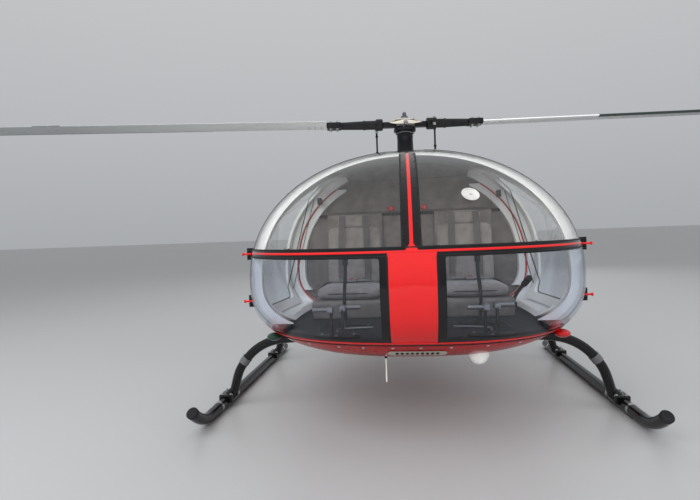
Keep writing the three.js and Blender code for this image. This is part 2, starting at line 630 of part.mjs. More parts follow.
// Tail: boom, stabiliser, fins, gearbox, guard and the two-blade tail rotor
function tail() {
  const { startY, endY, startZ, endZ, startR, endR } = BOOM;
  const boom = rod([0, startY, startZ], [0, endY, endZ], startR, 24, endR)
    .intersect(block([-FAR, FAR], [COWL_REAR_Y + SEAM, 2 * FAR], [0, FAR]))
    .subtract(rod([0, startY - 40, startZ], [0, endY - 60, endZ], startR - BOOM.wall, 24, endR - BOOM.wall));
  const boomZ = (y) => startZ + ((endZ - startZ) * (y - startY)) / (endY - startY);
  const panel = (outline, axis, from, to, grow = 0) =>
    prism(roundedOutline(outline, -grow, 30), axis, from - grow, to + grow);
  const finY = 4120;
  const upper = panel([[finY - 60, boomZ(finY) + 50], [finY + 230, boomZ(finY) + 50],
    [finY + 400, 1880], [finY + 220, 1880]], 'x', -12, 12);
  const lowerOutline = [[finY - 20, boomZ(finY) - 50], [finY + 170, boomZ(finY) - 50],
    [finY + 250, 900], [finY + 110, 900]];
  const lower = panel(lowerOutline, 'x', -12, 12);
  const level = panel([[-420, 3420], [-420, 3650], [420, 3650], [420, 3420]], 'z', 1262, 1284);
  const clearBoom = rod([0, startY, startZ], [0, endY, endZ], startR + 0.5, 24, endR + 0.5);
  const collar = rod([0, 3440, boomZ(3440)], [0, 3630, boomZ(3630)], 76, 20);
  const shaft = (from, to, radius) =>
    rod([from, TAIL_ROTOR.y, TAIL_ROTOR.z], [to, TAIL_ROTOR.y, TAIL_ROTOR.z], radius, 12);
  const gearbox = joined([
    rod([0, endY + 0.5, endZ], [0, TAIL_ROTOR.y + 40, TAIL_ROTOR.z], 50, 12),
    shaft(0, 120, 38),
  ]).intersect(block([-FAR, FAR], [endY + 2.2, 2 * FAR], [0, FAR])).subtract(shaft(60, 130, boreRadius(12, 12)));
  const guard = bentTube([[0, 3990, 1226], [0, 4200, 1000], [0, 4480, 770], [0, 4800, 700],
    [0, 5000, 760]], 14, 14, 8);
  const finRoom = panel(lowerOutline, 'x', -12, 12, SEAM);
  return [
    ['tail_boom', boom, MATERIAL.white],
    ['stabiliser', level.add(collar).subtract(clearBoom), MATERIAL.white],
    ['fin_upper', upper.subtract(clearBoom).subtract(gearbox), MATERIAL.red],
    ['fin_lower', lower.subtract(clearBoom), MATERIAL.white],
    ['tail_gearbox', gearbox, MATERIAL.alloy],
    ['tail_guard', guard.subtract(clearBoom).subtract(finRoom), MATERIAL.black],
  ];
}

function tailRotor() {
  const shaft = joined([
    rod([62, 0, 0], [TAIL_ROTOR.x + 30, 0, 0], 12, 12),
    block([TAIL_ROTOR.x - 22, TAIL_ROTOR.x + 22], [-34, 34], [-90, 90]),
    rod([TAIL_ROTOR.x + 24, 0, 0], [TAIL_ROTOR.x + 40, 0, 0], 26, 12),
  ]).translate([0, TAIL_ROTOR.y, TAIL_ROTOR.z]);
  const wing = blade(90.6, TAIL_ROTOR.radius, { ...TAIL_ROTOR, lead: 0.3, pitch: 90 });
  const standing = wing.rotate([0, -90, 0]).translate([TAIL_ROTOR.x, TAIL_ROTOR.y, TAIL_ROTOR.z]);
  const hanging = wing.rotate([0, 90, 0]).translate([TAIL_ROTOR.x, TAIL_ROTOR.y, TAIL_ROTOR.z]);
  return [
    ['tail_rotor_hub', shaft, MATERIAL.steel],
    ['tail_blade_1', standing, MATERIAL.bladeWhite],
    ['tail_blade_2', hanging, MATERIAL.bladeWhite],
  ];
}

// A cross tube runs level under the floor, leaves the hull at its sides and bends down to the skids
function crossTube(y, grow = 0) {
  const { z, radius } = CROSS_TUBE;
  const half = [[520, z], [700, z - 4], [850, z - 23], [965, z - 84], [1054, z - 192], [SKID.x - 42, 76]];
  const onHalf = (side) => half.map(([a, b]) => [side * a, y, b]);
  const route = [...onHalf(-1).reverse(), [0, y, z], ...onHalf(1)];
  return bentTube(route, radius + grow, 26, 10);
}

// Skid gear: two arched cross tubes and two skid tubes with upturned toes
function skidGear() {
  const { x, radius, toeY, heelY, bendY, toeLift } = SKID;
  const axisZ = radius + SHOE.lift;
  const toe = Array.from({ length: 6 }, (_, i) => {
    const share = i / 5;
    return [x, bendY + (toeY - bendY) * share, axisZ + toeLift * share ** 2];
  });
  const skid = bentTube([[x, heelY, axisZ], [x, 0, axisZ], [x, bendY + 120, axisZ], ...toe], radius, 16, 12);
  const shoes = SHOE.ends.map((ends) => block([x - SHOE.half, x + SHOE.half], ends, [0, SHOE.high]));
  const shod = joined([skid, ...shoes]);
  const cross = (y) => {
    const saddles = SIDES.map(([, side]) => onSide(joined([
      block([x - 46, x + 34], [y - 50, y + 50], [axisZ - 6, axisZ + 42]),
      rod([x - 47, y, 80], [x - 19, y, 54], CROSS_TUBE.radius + 4, 12),
    ]).subtract(rod([x, y - 100, axisZ], [x, y + 100, axisZ], radius + 0.5, 12)), side));
    return joined([crossTube(y), ...saddles]);
  };
  const { frontY } = CROSS_TUBE;
  const mounts = [-420, 420].map((m) =>
    block([m - 30, m + 30], [frontY - 36, frontY + 36], [CROSS_TUBE.z, FLOOR_Z - SEAM]));
  return [
    ...SIDES.map(([name, side]) => [`skid_tube_${name}`, onSide(shod, side), MATERIAL.black]),
    ['cross_tube_front', joined([cross(frontY), ...mounts]), MATERIAL.black],
    ['cross_tube_rear', cross(CROSS_TUBE.rearY), MATERIAL.black],
  ];
}

// Small outer fittings on the nose: vent, lamps and antenna
function fittings() {
  const vent = { x: 14, reach: 122, end: 15, z: 437 };
  const plate = new THREE.Shape();
  plate.absarc(vent.x + vent.reach, vent.z, vent.end, -Math.PI / 2, Math.PI / 2);
  plate.absarc(vent.x - vent.reach, vent.z, vent.end, Math.PI / 2, Math.PI * 1.5);
  const raised = bubble(-4).subtract(bubble(-0.4, CABIN_REAR_Y + 1));
  const grille = prism(plate, 'y', NOSE_Y, NOSE_Y + 400).intersect(raised);
  const lampAt = [326, -1180, 380];
  const landing = ball(lampAt, 58, [1, 1, 0.85], 14).subtract(outerForm.add(bubble(-0.4)));
  const navigation = ball([0, 0, 0], 34, [1.15, 1.1, 0.65], 12);
  const lamps = SIDES.map(([name, side]) => {
    const lamp = navigation.translate([738, -1190, 490]).subtract(bubble(-0.4));
    return [`navigation_lamp_${name}`, onSide(lamp, side), side > 0 ? MATERIAL.lampRed : MATERIAL.lampGreen];
  });
  const mast = rod([-150, -1100, 215], [-150, -1100, 365], 5, 8).subtract(bubble(-0.4));
  return [
    ['belly_vent', grille, MATERIAL.alloy],
    ['landing_lamp', landing, MATERIAL.lampWhite],
    ...lamps,
    ['belly_antenna', mast, MATERIAL.white],
  ];
}

const helicopter = new THREE.Group();
const groups = [noseSkins, cabinShell, doors, seats, instrumentConsole, pedals, sticks, engineBay, mastParts,
  mainRotor, tail, tailRotor, skidGear, fittings];
for (const [name, solid, material] of groups.flatMap((group) => group())) {
  helicopter.add(meshOf(name, solid, material));
}
helicopter.position.y = -new THREE.Box3().setFromObject(helicopter, true).getCenter(new THREE.Vector3()).y;

export default helicopter;
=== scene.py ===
# The looks of a light two-seat helicopter with a clear bubble cabin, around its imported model.
# Metres, +Z up, nose towards -Y, the pilot's left side towards +X.

import math

import bmesh
import bpy
import numpy as np
from mathutils import Matrix, Vector


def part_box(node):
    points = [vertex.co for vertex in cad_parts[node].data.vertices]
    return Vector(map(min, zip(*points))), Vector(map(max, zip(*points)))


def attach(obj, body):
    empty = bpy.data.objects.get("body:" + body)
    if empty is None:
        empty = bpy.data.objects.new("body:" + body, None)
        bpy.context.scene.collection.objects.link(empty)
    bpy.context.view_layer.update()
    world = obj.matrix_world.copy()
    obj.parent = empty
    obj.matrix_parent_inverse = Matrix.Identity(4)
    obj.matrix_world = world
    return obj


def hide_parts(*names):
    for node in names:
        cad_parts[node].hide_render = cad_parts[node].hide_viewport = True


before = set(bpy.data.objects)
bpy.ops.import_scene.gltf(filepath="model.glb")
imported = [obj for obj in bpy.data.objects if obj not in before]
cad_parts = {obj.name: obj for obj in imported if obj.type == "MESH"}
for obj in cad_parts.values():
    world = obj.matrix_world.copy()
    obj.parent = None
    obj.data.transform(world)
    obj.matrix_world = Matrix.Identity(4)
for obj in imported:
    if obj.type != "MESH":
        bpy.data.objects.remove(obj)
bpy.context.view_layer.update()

ROOT, ROTOR = "airframe", "main_rotor"
ROTOR_TURN = math.radians(7)
PAINT_BREAK = 1.48
SIDES = (("left", 1), ("right", -1))


def middle_of(node):
    low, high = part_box(node)
    return Vector((low[i] + high[i]) / 2 for i in range(3))


# Everything is drawn with the mast axis at x = 0, y = 0, then moved along Y by this much
MAST_Y = middle_of("mast_housing").y
SEAT_X = middle_of("seat_left").x
LEVER_X = {"left": middle_of("collective_left").x, "right": middle_of("collective_right").x}

# The bubble's driving sizes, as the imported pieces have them
CABIN_WIDTH = 1.930
BELLY_Z = 0.350
WIDEST_Z = 0.760
ROOF_Z = 1.560
NOSE_Y = -1.560
WIDEST_Y = -0.700
ROOF_PEAK_Y = -0.330
BELLY_FLAT_Y = -0.900
CABIN_REAR_Y = -0.130
REAR_WIDTH_RATIO = 0.92
PLAN_POWER = 2.3
TOP_POWER = 2.1
CHIN_POWER = 2.3
UPPER_SECTION_POWER = 2.2
LOWER_SECTION_POWER = 2.6
# Stations where the solids that hollow the bubble out end
JUST_BEHIND_Y = CABIN_REAR_Y + 0.001
WELL_BEHIND_Y = 0.1

# Skins, panels, hoops, pillar and doors
FRAME_THICK = 0.018
GLASS_THICK = 0.006
SEAM = 0.0004
WAIST_Z = (0.916, 0.954)
RIM_Z = 0.505
FLOOR_TOP = 0.4824
WALL_Y = -0.148
POST_HALF = 0.040
NOSE_HALF = 0.108
ROOF_HALF = 0.430
HOOP_DEEP, HOOP_FRONT, HOOP_REAR = 0.046, 0.032, 0.030
HOOP_WHITE_TOP = 1.360
HOOP_RISE = 1.046
PILLAR = {"foot": -0.935, "bend_z": 0.800, "top": -0.560, "top_z": 1.640, "bow": (-0.925, 1.300)}
DOOR_GAP = 0.007
DOOR_RAIL = 0.044
DOOR_CORNER = 0.070
DOOR_OUTLINE = (
    (-0.815, 0.525), (-0.868, 0.800), (-0.800, 1.112), (-0.605, 1.385),
    (-0.330, 1.440), (-0.205, 1.407), (-0.205, 0.525),
)
HINGE = {"x": 0.970, "y": -0.884, "half": 0.023, "levels": {"lower": 0.640, "upper": 0.925}}
FAR = 3.0


# Shapes of the bubble
def fullness(y, widest_y, length, power):
    ahead = np.clip((widest_y - y) / length, 0, 1)
    return (1 - ahead**power) ** (1 / power)


def section_reach(y, depth):
    """Half width, reach above and reach below the widest line of a section."""
    wide = fullness(y, WIDEST_Y, WIDEST_Y - NOSE_Y - depth, PLAN_POWER)
    behind = np.maximum(0, (y - WIDEST_Y) / (CABIN_REAR_Y - WIDEST_Y))
    taper = 1 - (1 - REAR_WIDTH_RATIO) * behind**2
    half = (CABIN_WIDTH / 2 * taper - depth) * wide
    up = (ROOF_Z - depth - WIDEST_Z) * fullness(y, ROOF_PEAK_Y, ROOF_PEAK_Y - NOSE_Y - depth, TOP_POWER)
    down = (WIDEST_Z - BELLY_Z - depth) * fullness(
        y, BELLY_FLAT_Y, BELLY_FLAT_Y - NOSE_Y - depth, CHIN_POWER)
    return half, up, down


def superellipse(angle, half, up, down, power_up, power_down):
    c, s = math.cos(angle), math.sin(angle)
    power = 2 / (power_up if s > 0 else power_down)
    x = math.copysign(abs(c) ** power, c) * half
    z = math.copysign(abs(s) ** power, s) * (up if s > 0 else down)
    return x, z


def bubble_ring(y, depth, count):
    half, up, down = section_reach(y, depth)
    points = []
    for i in range(count):
        x, z = superellipse(i / count * math.tau, half, up, down, UPPER_SECTION_POWER, LOWER_SECTION_POWER)
        points.append((x, y, WIDEST_Z + z))
    return points


def bubble_level(points, depth=0.0):
    """Below 0 inside the bubble's skin, above 0 outside it, for an array of points."""
    p = np.asarray(points, dtype=float)
    half, up, down = section_reach(p[:, 1], depth)
    above = p[:, 2] > WIDEST_Z
    power = np.where(above, UPPER_SECTION_POWER, LOWER_SECTION_POWER)
    reach = np.maximum(np.where(above, up, down), 1e-5)
    across = np.abs(p[:, 0]) / np.maximum(half, 1e-5)
    upright = np.abs(p[:, 2] - WIDEST_Z) / reach
    return across**power + upright**power - 1


def bubble_normals(points):
    p = np.asarray(points, dtype=float)
    step = 4e-4
    slopes = []
    for axis in range(3):
        move = np.zeros(3)
        move[axis] = step
        slopes.append(bubble_level(p + move) - bubble_level(p - move))
    n = np.stack(slopes, axis=1)
    return n / np.maximum(np.linalg.norm(n, axis=1, keepdims=True), 1e-12)


def on_bubble(origin, direction, out=0.0):
    """The point where a ray from inside leaves the bubble, moved out along the surface's normal."""
    origin, direction = np.array(origin, dtype=float), np.array(direction, dtype=float)
    direction /= np.linalg.norm(direction)
    near, far = 0.0, FAR
    for _ in range(40):
        mid = (near + far) / 2
        p = origin + direction * mid
        inside = p[1] > NOSE_Y and bubble_level(p[None])[0] < 0
        near, far = (mid, far) if inside else (near, mid)
    p = origin + direction * near
    return p + bubble_normals(p[None])[0] * out


# Mesh helpers. Shapes that are only tools stay in this set, and are removed at the end.
TOOLS = set()
KEEP, CUT = "INTERSECT", "DIFFERENCE"
UP = (0, 0, 1)


def object_from(name, corners, faces, smooth=True):
    mesh = bpy.data.meshes.new(name)
    mesh.from_pydata([tuple(c) for c in corners], [], faces)
    mesh.update()
    obj = bpy.data.objects.new(name, mesh)
    bpy.context.scene.collection.objects.link(obj)
    TOOLS.add(obj)
    if smooth:
        mesh.polygons.foreach_set("use_smooth", [True] * len(mesh.polygons))
    return obj


def outward(obj, weld=2e-6):
    """Points all faces outwards, and joins corners that are nearer than the weld."""
    shape = bmesh.new()
    shape.from_mesh(obj.data)
    if weld:
        bmesh.ops.remove_doubles(shape, verts=shape.verts, dist=weld)
    bmesh.ops.recalc_face_normals(shape, faces=shape.faces)
    shape.to_mesh(obj.data)
    shape.free()
    return obj


def loft(name, rings, loop=False):
    """A closed skin over rings of equal length, with a fan over each end or joined in a loop."""
    count = len(rings[0])
    corners = [p for ring in rings for p in ring]
    faces = []
    for r in range(len(rings) - 1):
        for i in range(count):
            a, b = r * count + i, r * count + (i + 1) % count
            faces.append((a, b, b + count, a + count))
    if loop:
        last = (len(rings) - 1) * count
        faces += [(last + i, last + (i + 1) % count, (i + 1) % count, i) for i in range(count)]
    for end in () if loop else (0, len(rings) - 1):
        hub = len(corners)
        corners.append(tuple(np.mean(np.array(rings[end]), axis=0)))
        for i in range(count):
            a, b = end * count + i, end * count + (i + 1) % count
            faces.append((b, a, hub) if end == 0 else (a, b, hub))
    return outward(object_from(name, corners, faces))


def prism(name, outline, axis, low, high):
    """A prism of an outline: for 'x' it holds y and z, for 'y' x and z, for 'z' x and y."""
    place = {
        "x": lambda a, b, c: (c, a, b),
        "y": lambda a, b, c: (a, c, b),
        "z": lambda a, b, c: (a, b, c),
    }[axis]
    count = len(outline)
    corners = [place(a, b, level) for level in (low, high) for a, b in outline]
    faces = [tuple(range(count)), tuple(range(2 * count - 1, count - 1, -1))]
    faces += [(i, i + count, (i + 1) % count + count, (i + 1) % count) for i in range(count)]
    return outward(object_from(name, corners, faces, smooth=False))


def block(name, x, y, z):
    return prism(name, [(x[0], y[0]), (x[1], y[0]), (x[1], y[1]), (x[0], y[1])], "z", *z)


def remove_tools():
    for obj in list(TOOLS):
        bpy.data.objects.remove(obj, do_unlink=True)


def copy_of(obj, name):
    twin = bpy.data.objects.new(name, obj.data.copy())
    bpy.context.scene.collection.objects.link(twin)
    TOOLS.add(twin)
    return twin


def carve(obj, *steps):
    """Applies booleans in turn. Each step is an operation and the object it is done with."""
    for operation, tool in steps:
        change = obj.modifiers.new("carve", "BOOLEAN")
        change.operation = operation
        change.solver = "MANIFOLD"
        change.object = tool
        graph = bpy.context.evaluated_depsgraph_get()
        result = bpy.data.meshes.new_from_object(obj.evaluated_get(graph))
        obj.modifiers.clear()
        obj.data = result
    return obj


def between(side, a, b):
    """The range from a to b on the left side (1), or its mirror image on the right one (-1)."""
    return tuple(sorted((side * a, side * b)))


def around(middle, half):
    return middle - half, middle + half


def inset_outline(points, inset):
    count = len(points)
    area = 0
    for i in range(count):
        (x, y), (u, v) = points[i], points[(i + 1) % count]
        area += x * v - u * y
    inward = math.copysign(1, area) * inset
    edges = []
    for i in range(count):
        (x, y), (u, v) = points[i], points[(i + 1) % count]
        length = math.hypot(u - x, v - y)
        nx, ny = -(v - y) / length, (u - x) / length
        edges.append((nx, ny, nx * x + ny * y + inward))
    moved = []
    for i in range(count):
        a, b = edges[i - 1], edges[i]
        cross = a[0] * b[1] - a[1] * b[0]
        moved.append(((a[2] * b[1] - b[2] * a[1]) / cross, (a[0] * b[2] - b[0] * a[2]) / cross))
    return moved


def quadratic(start, control, stop, t):
    return start * (1 - t) ** 2 + control * 2 * t * (1 - t) + stop * t**2


def rounded_outline(points, inset, corner, steps=10):
    """An outline moved inwards by a gap, with each corner rounded by a quadratic curve."""
    moved = [Vector(p) for p in inset_outline(points, inset)]
    count = len(moved)
    outline = []
    for i, point in enumerate(moved):
        before, after = moved[i - 1], moved[(i + 1) % count]
        start = point + (before - point) * min(corner / (before - point).length, 0.45)
        stop = point + (after - point) * min(corner / (after - point).length, 0.45)
        outline += [tuple(quadratic(start, point, stop, k / steps)) for k in range(steps + 1)]
    return outline


# Materials
def new_material(name, rough=0.5, metal=0.0, color=(0.8, 0.8, 0.8)):
    material = bpy.data.materials.new(name)
    material.use_nodes = True
    shader = material.node_tree.nodes["Principled BSDF"]
    shader.inputs["Base Color"].default_value = (*color, 1)
    shader.inputs["Roughness"].default_value = rough
    shader.inputs["Metallic"].default_value = metal
    return material, material.node_tree, shader


def node(tree, kind, **values):
    made = tree.nodes.new(kind)
    for key, value in values.items():
        socket = made.inputs.get(key.replace("_", " "))
        if socket is not None:
            socket.default_value = value
        else:
            setattr(made, key, value)
    return made


def place_coordinates(tree, scale=(1, 1, 1)):
    place = node(tree, "ShaderNodeTexCoord")
    spread = node(tree, "ShaderNodeMapping")
    spread.inputs["Scale"].default_value = scale
    tree.links.new(place.outputs["Object"], spread.inputs["Vector"])
    return spread.outputs["Vector"]


def noise(tree, scale, detail=3.0, stretch=(1, 1, 1)):
    made = node(tree, "ShaderNodeTexNoise", Scale=scale, Detail=detail)
    tree.links.new(place_coordinates(tree, stretch), made.inputs["Vector"])
    return made.outputs["Fac"]


def ramp(tree, source, stops):
    made = tree.nodes.new("ShaderNodeValToRGB")
    colours = made.color_ramp.elements
    while len(colours) < len(stops):
        colours.new(0.5)
    for element, (place, color) in zip(colours, stops):
        element.position = place
        element.color = (*color, 1) if len(color) == 3 else color
    tree.links.new(source, made.inputs["Fac"])
    return made.outputs["Color"]


def grey(value):
    return (value, value, value)


def spread_of(tree, source, low, high):
    made = node(tree, "ShaderNodeMapRange", To_Min=low, To_Max=high)
    tree.links.new(source, made.inputs["Value"])
    return made.outputs["Result"]


def bumped(tree, shader, source, strength, distance=0.001):
    bump = node(tree, "ShaderNodeBump", Strength=strength, Distance=distance)
    tree.links.new(source, bump.inputs["Height"])
    tree.links.new(bump.outputs["Normal"], shader.inputs["Normal"])


def paint(name, color, rough=0.16, coat=0.8, grime=0.12):
    """Glossy paint with a faint orange peel, a little dust and slightly uneven shine."""
    material, tree, shader = new_material(name, rough, 0.0, color)
    dark = tuple(c * (1 - grime) for c in color)
    cloud = noise(tree, 3.5, 5)
    tree.links.new(ramp(tree, cloud, [(0.3, dark), (0.72, color)]), shader.inputs["Base Color"])
    shine = spread_of(tree, noise(tree, 9, 6), rough * 0.7, rough * 1.6)
    tree.links.new(shine, shader.inputs["Roughness"])
    shader.inputs["Coat Weight"].default_value = coat
    shader.inputs["Coat Roughness"].default_value = 0.04
    bumped(tree, shader, noise(tree, 240, 2), 0.05, 0.0004)
    return material


def faded_paint(name, near, far, span):
    """Blade paint that goes from one colour to the other over a span of distance from the mast."""
    material = paint(name, far, 0.32, 0.25)
    tree = material.node_tree
    shader = tree.nodes["Principled BSDF"]
    place = node(tree, "ShaderNodeTexCoord")
    parts = node(tree, "ShaderNodeSeparateXYZ")
    tree.links.new(place.outputs["Object"], parts.inputs["Vector"])
    reach = node(tree, "ShaderNodeMath", operation="ABSOLUTE")
    tree.links.new(parts.outputs["X"], reach.inputs[0])
    share = node(tree, "ShaderNodeMapRange")
    share.inputs["From Min"].default_value = span[0]
    share.inputs["From Max"].default_value = span[1]
    tree.links.new(reach.outputs["Value"], share.inputs["Value"])
    worn = shader.inputs["Base Color"].links[0].from_socket
    shade = ramp(tree, share.outputs["Result"], [(0.0, near), (1.0, far)])
    blend = node(tree, "ShaderNodeMix", data_type="RGBA", blend_type="MULTIPLY")
    blend.inputs["Factor"].default_value = 0.2
    tree.links.new(shade, blend.inputs[6])
    tree.links.new(worn, blend.inputs[7])
    tree.links.new(blend.outputs[2], shader.inputs["Base Color"])
    return material


def metal(name, color, rough=0.3, grain=(1, 1, 40), strength=0.15):
    material, tree, shader = new_material(name, rough, 1.0, color)
    lines = noise(tree, 60, 4, grain)
    dark = tuple(c * 0.72 for c in color)
    tree.links.new(ramp(tree, lines, [(0.35, dark), (0.65, color)]), shader.inputs["Base Color"])
    tree.links.new(spread_of(tree, lines, rough * 0.7, rough * 1.5), shader.inputs["Roughness"])
    bumped(tree, shader, lines, strength, 0.0004)
    return material


def moulded(name, color, rough=0.5, grain=900):
    """Moulded plastic or rubber with a fine leather-like grain."""
    material, tree, shader = new_material(name, rough, 0.0, color)
    pale = tuple(min(1, c * 1.5 + 0.004) for c in color)
    tree.links.new(ramp(tree, noise(tree, 14, 6), [(0.35, color), (0.75, pale)]), shader.inputs["Base Color"])
    cells = node(tree, "ShaderNodeTexVoronoi", Scale=grain)
    tree.links.new(place_coordinates(tree), cells.inputs["Vector"])
    tree.links.new(spread_of(tree, noise(tree, 30, 4), rough * 0.8, rough * 1.25), shader.inputs["Roughness"])
    bumped(tree, shader, cells.outputs["Distance"], 0.2, 0.0006)
    return material


def cloth(name, color, threads=420):
    """Woven upholstery: two crossed sets of threads, with sheen and uneven dye."""
    material, tree, shader = new_material(name, 0.85, 0.0, color)
    shader.inputs["Sheen Weight"].default_value = 0.35
    sets = []
    for direction in ("X", "Z"):
        wave = node(tree, "ShaderNodeTexWave", bands_direction=direction, Scale=threads, Distortion=0.6)
        tree.links.new(place_coordinates(tree), wave.inputs["Vector"])
        sets.append(wave.outputs["Fac"])
    weave = node(tree, "ShaderNodeMath", operation="MULTIPLY")
    for socket, source in zip(weave.inputs, sets):
        tree.links.new(source, socket)
    dark = tuple(c * 0.7 for c in color)
    tone = ramp(tree, noise(tree, 18, 6), [(0.3, dark), (0.7, color)])
    tree.links.new(tone, shader.inputs["Base Color"])
    bumped(tree, shader, weave.outputs["Value"], 0.35, 0.0008)
    return material


def carpet(name, color):
    material, tree, shader = new_material(name, 0.95, 0.0, color)
    pile = noise(tree, 700, 8)
    dark, pale = tuple(c * 0.4 for c in color), tuple(c * 1.9 for c in color)
    tree.links.new(ramp(tree, pile, [(0.3, dark), (0.75, pale)]), shader.inputs["Base Color"])
    bumped(tree, shader, pile, 0.9, 0.003)
    return material


def glass(name, tint, haze, edge_reflection=0.6):
    """A thin pane: a little haze, then a mirror that grows towards low angles as on real glass."""
    material, tree, shader = new_material(name, 0.2, 0.0, grey(0.5))
    tree.links.new(spread_of(tree, noise(tree, 5, 6), 0.15, 0.45), shader.inputs["Roughness"])
    open_pane = node(tree, "ShaderNodeBsdfTransparent")
    open_pane.inputs["Color"].default_value = (*tint, 1)
    clean = node(tree, "ShaderNodeMixShader")
    clean.inputs["Fac"].default_value = haze
    tree.links.new(open_pane.outputs["BSDF"], clean.inputs[1])
    tree.links.new(shader.outputs["BSDF"], clean.inputs[2])
    mirror = node(tree, "ShaderNodeBsdfAnisotropic", Roughness=0.015)
    mirror.inputs["Color"].default_value = (1, 1, 1, 1)
    slope = node(tree, "ShaderNodeLayerWeight", Blend=0.5)
    steep = node(tree, "ShaderNodeMath", operation="POWER")
    steep.inputs[1].default_value = 4.5
    tree.links.new(slope.outputs["Facing"], steep.inputs[0])
    mix = node(tree, "ShaderNodeMixShader")
    tree.links.new(spread_of(tree, steep.outputs["Value"], 0.035, edge_reflection), mix.inputs["Fac"])
    tree.links.new(clean.outputs["Shader"], mix.inputs[1])
    tree.links.new(mirror.outputs["BSDF"], mix.inputs[2])
    tree.links.new(mix.outputs["Shader"], tree.nodes["Material Output"].inputs["Surface"])
    return material


def lens(name, color):
    """A coloured lamp lens with fine ribs moulded into it."""
    material, tree, shader = new_material(name, 0.12, 0.0, color)
    shader.inputs["Coat Weight"].default_value = 1.0
    deep = tuple(c * 0.6 for c in color)
    ribs = node(tree, "ShaderNodeTexWave", bands_direction="X", Scale=260)
    tree.links.new(place_coordinates(tree), ribs.inputs["Vector"])
    tree.links.new(ramp(tree, ribs.outputs["Fac"], [(0.2, deep), (0.8, color)]), shader.inputs["Base Color"])
    bumped(tree, shader, ribs.outputs["Fac"], 0.3, 0.0006)
    return material


MAT = {
    "red": paint("red_paint", (0.58, 0.005, 0.006)),
    # The belly's red is the red paint made darker: painted shade for the shaded underside.
    "belly_red": paint("shaded_belly_red_paint", (0.42, 0.004, 0.006), 0.24, 0.25),
    "white": paint("white_paint", (0.76, 0.76, 0.74), 0.2, 0.6, 0.08),
    "black": paint("black_paint", (0.005, 0.005, 0.006), 0.16, 0.35, 0.3),
    "rubber": moulded("black_rubber", (0.010, 0.010, 0.011), 0.55),
    "satin": moulded("satin_black", (0.008, 0.008, 0.009), 0.40),
    "clear": glass("clear_pane", (0.980, 0.985, 0.985), 0.010),
    "smoke": glass("smoked_pane", (0.86, 0.88, 0.92), 0.012),
    "trim": moulded("taupe_trim", (0.135, 0.120, 0.112), 0.75, 500),
    "lining": cloth("roof_lining", (0.040, 0.036, 0.034), 300),
    "seat": cloth("seat_cloth", (0.270, 0.245, 0.230)),
    "carpet": carpet("charcoal_carpet", (0.022, 0.022, 0.026)),
    "alloy": metal("bare_alloy", (0.70, 0.71, 0.72), 0.28),
    "steel": metal("dark_steel", (0.30, 0.30, 0.31), 0.35),
    "cream": paint("cream_metal", (0.52, 0.49, 0.41), 0.3, 0.3),
    "vent_white": moulded("vent_white", (0.36, 0.355, 0.35), 0.45),
    "belt": cloth("belt_webbing", (0.125, 0.114, 0.108), 900),
    "burnt": metal("burnt_steel", (0.22, 0.16, 0.12), 0.45),
    "lens_red": lens("red_lens", (0.50, 0.006, 0.006)),
    "lens_green": lens("green_lens", (0.003, 0.040, 0.018)),
    "lens_white": lens("white_lens", (0.93, 0.93, 0.90)),
    "blade_white": paint("blade_white_paint", (0.74, 0.75, 0.74), 0.28, 0.3),
    "blade_grey": faded_paint("blade_grey_paint", (0.78, 0.79, 0.78), (0.50, 0.52, 0.52),
                              (PAINT_BREAK, 2.5)),
    "edge_steel": metal("edge_strip_steel", (0.16, 0.18, 0.18), 0.38, (40, 1, 1)),
    "leg_grey": paint("leg_clamp_grey", (0.12, 0.12, 0.125), 0.35, 0.2),
}


def shaded_by_angle(obj, limit=math.radians(34)):
    """Smooth faces, with hard edges where two of them meet at more than the limit."""
    shape = bmesh.new()
    shape.from_mesh(obj.data)
    for face in shape.faces:
        face.smooth = True
    for edge in shape.edges:
        edge.smooth = len(edge.link_faces) == 2 and edge.calc_face_angle(0) < limit
    shape.to_mesh(obj.data)
    shape.free()


def add(obj, finish, body=ROOT, replaces=(), name=None):
    """Moves a finished piece to its place, and says what it is made of and rides on."""
    TOOLS.discard(obj)
    if name:
        obj.name = name
    if not obj.data.has_custom_normals:
        shaded_by_angle(obj)
    if body == ROTOR:
        obj.data.transform(Matrix.Rotation(ROTOR_TURN, 4, "Z"))
    obj.data.transform(Matrix.Translation((0, MAST_Y, 0)))
    obj.data.materials.clear()
    obj.data.materials.append(MAT[finish])
    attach(obj, body)
    if replaces:
        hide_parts(*replaces)
    return obj


# Cabin skin, cut into its panels
SKIN_SIDES = 168
SKIN_STATIONS = 64
BUBBLES = {}


def bubble_solid(name, depth, rear_y=CABIN_REAR_Y):
    """The closed bubble at a depth inside its skin. Equal ones share a mesh."""
    key = (round(depth, 6), round(rear_y, 6))
    if key not in BUBBLES:
        BUBBLES[key] = bubble_mesh(name, depth, rear_y)
    return copy_of(BUBBLES[key], name)


def bubble_mesh(name, depth, rear_y):
    front = NOSE_Y + depth
    rings = []
    for i in range(SKIN_STATIONS + 1):
        y = front + (rear_y - front) * (i / SKIN_STATIONS) ** 2
        rings.append(bubble_ring(y, depth, SKIN_SIDES))
    return loft(name, rings)


def curved_shading(obj, facing=0.8):
    """Gives the outer and inner faces of a skin panel the true normals of the bubble."""
    mesh = obj.data
    mesh.polygons.foreach_set("use_smooth", [True] * len(mesh.polygons))
    corners = np.empty(len(mesh.vertices) * 3)
    mesh.vertices.foreach_get("co", corners)
    true = bubble_normals(corners.reshape(-1, 3))
    normals = np.empty((len(mesh.loops), 3))
    for face in mesh.polygons:
        flat = np.array(face.normal)
        for loop in face.loop_indices:
            n = true[mesh.loops[loop].vertex_index]
            along = float(n @ flat)
            normals[loop] = n if along > facing else (-n if along < -facing else flat)
    mesh.normals_split_custom_set([tuple(n) for n in normals])
    return obj


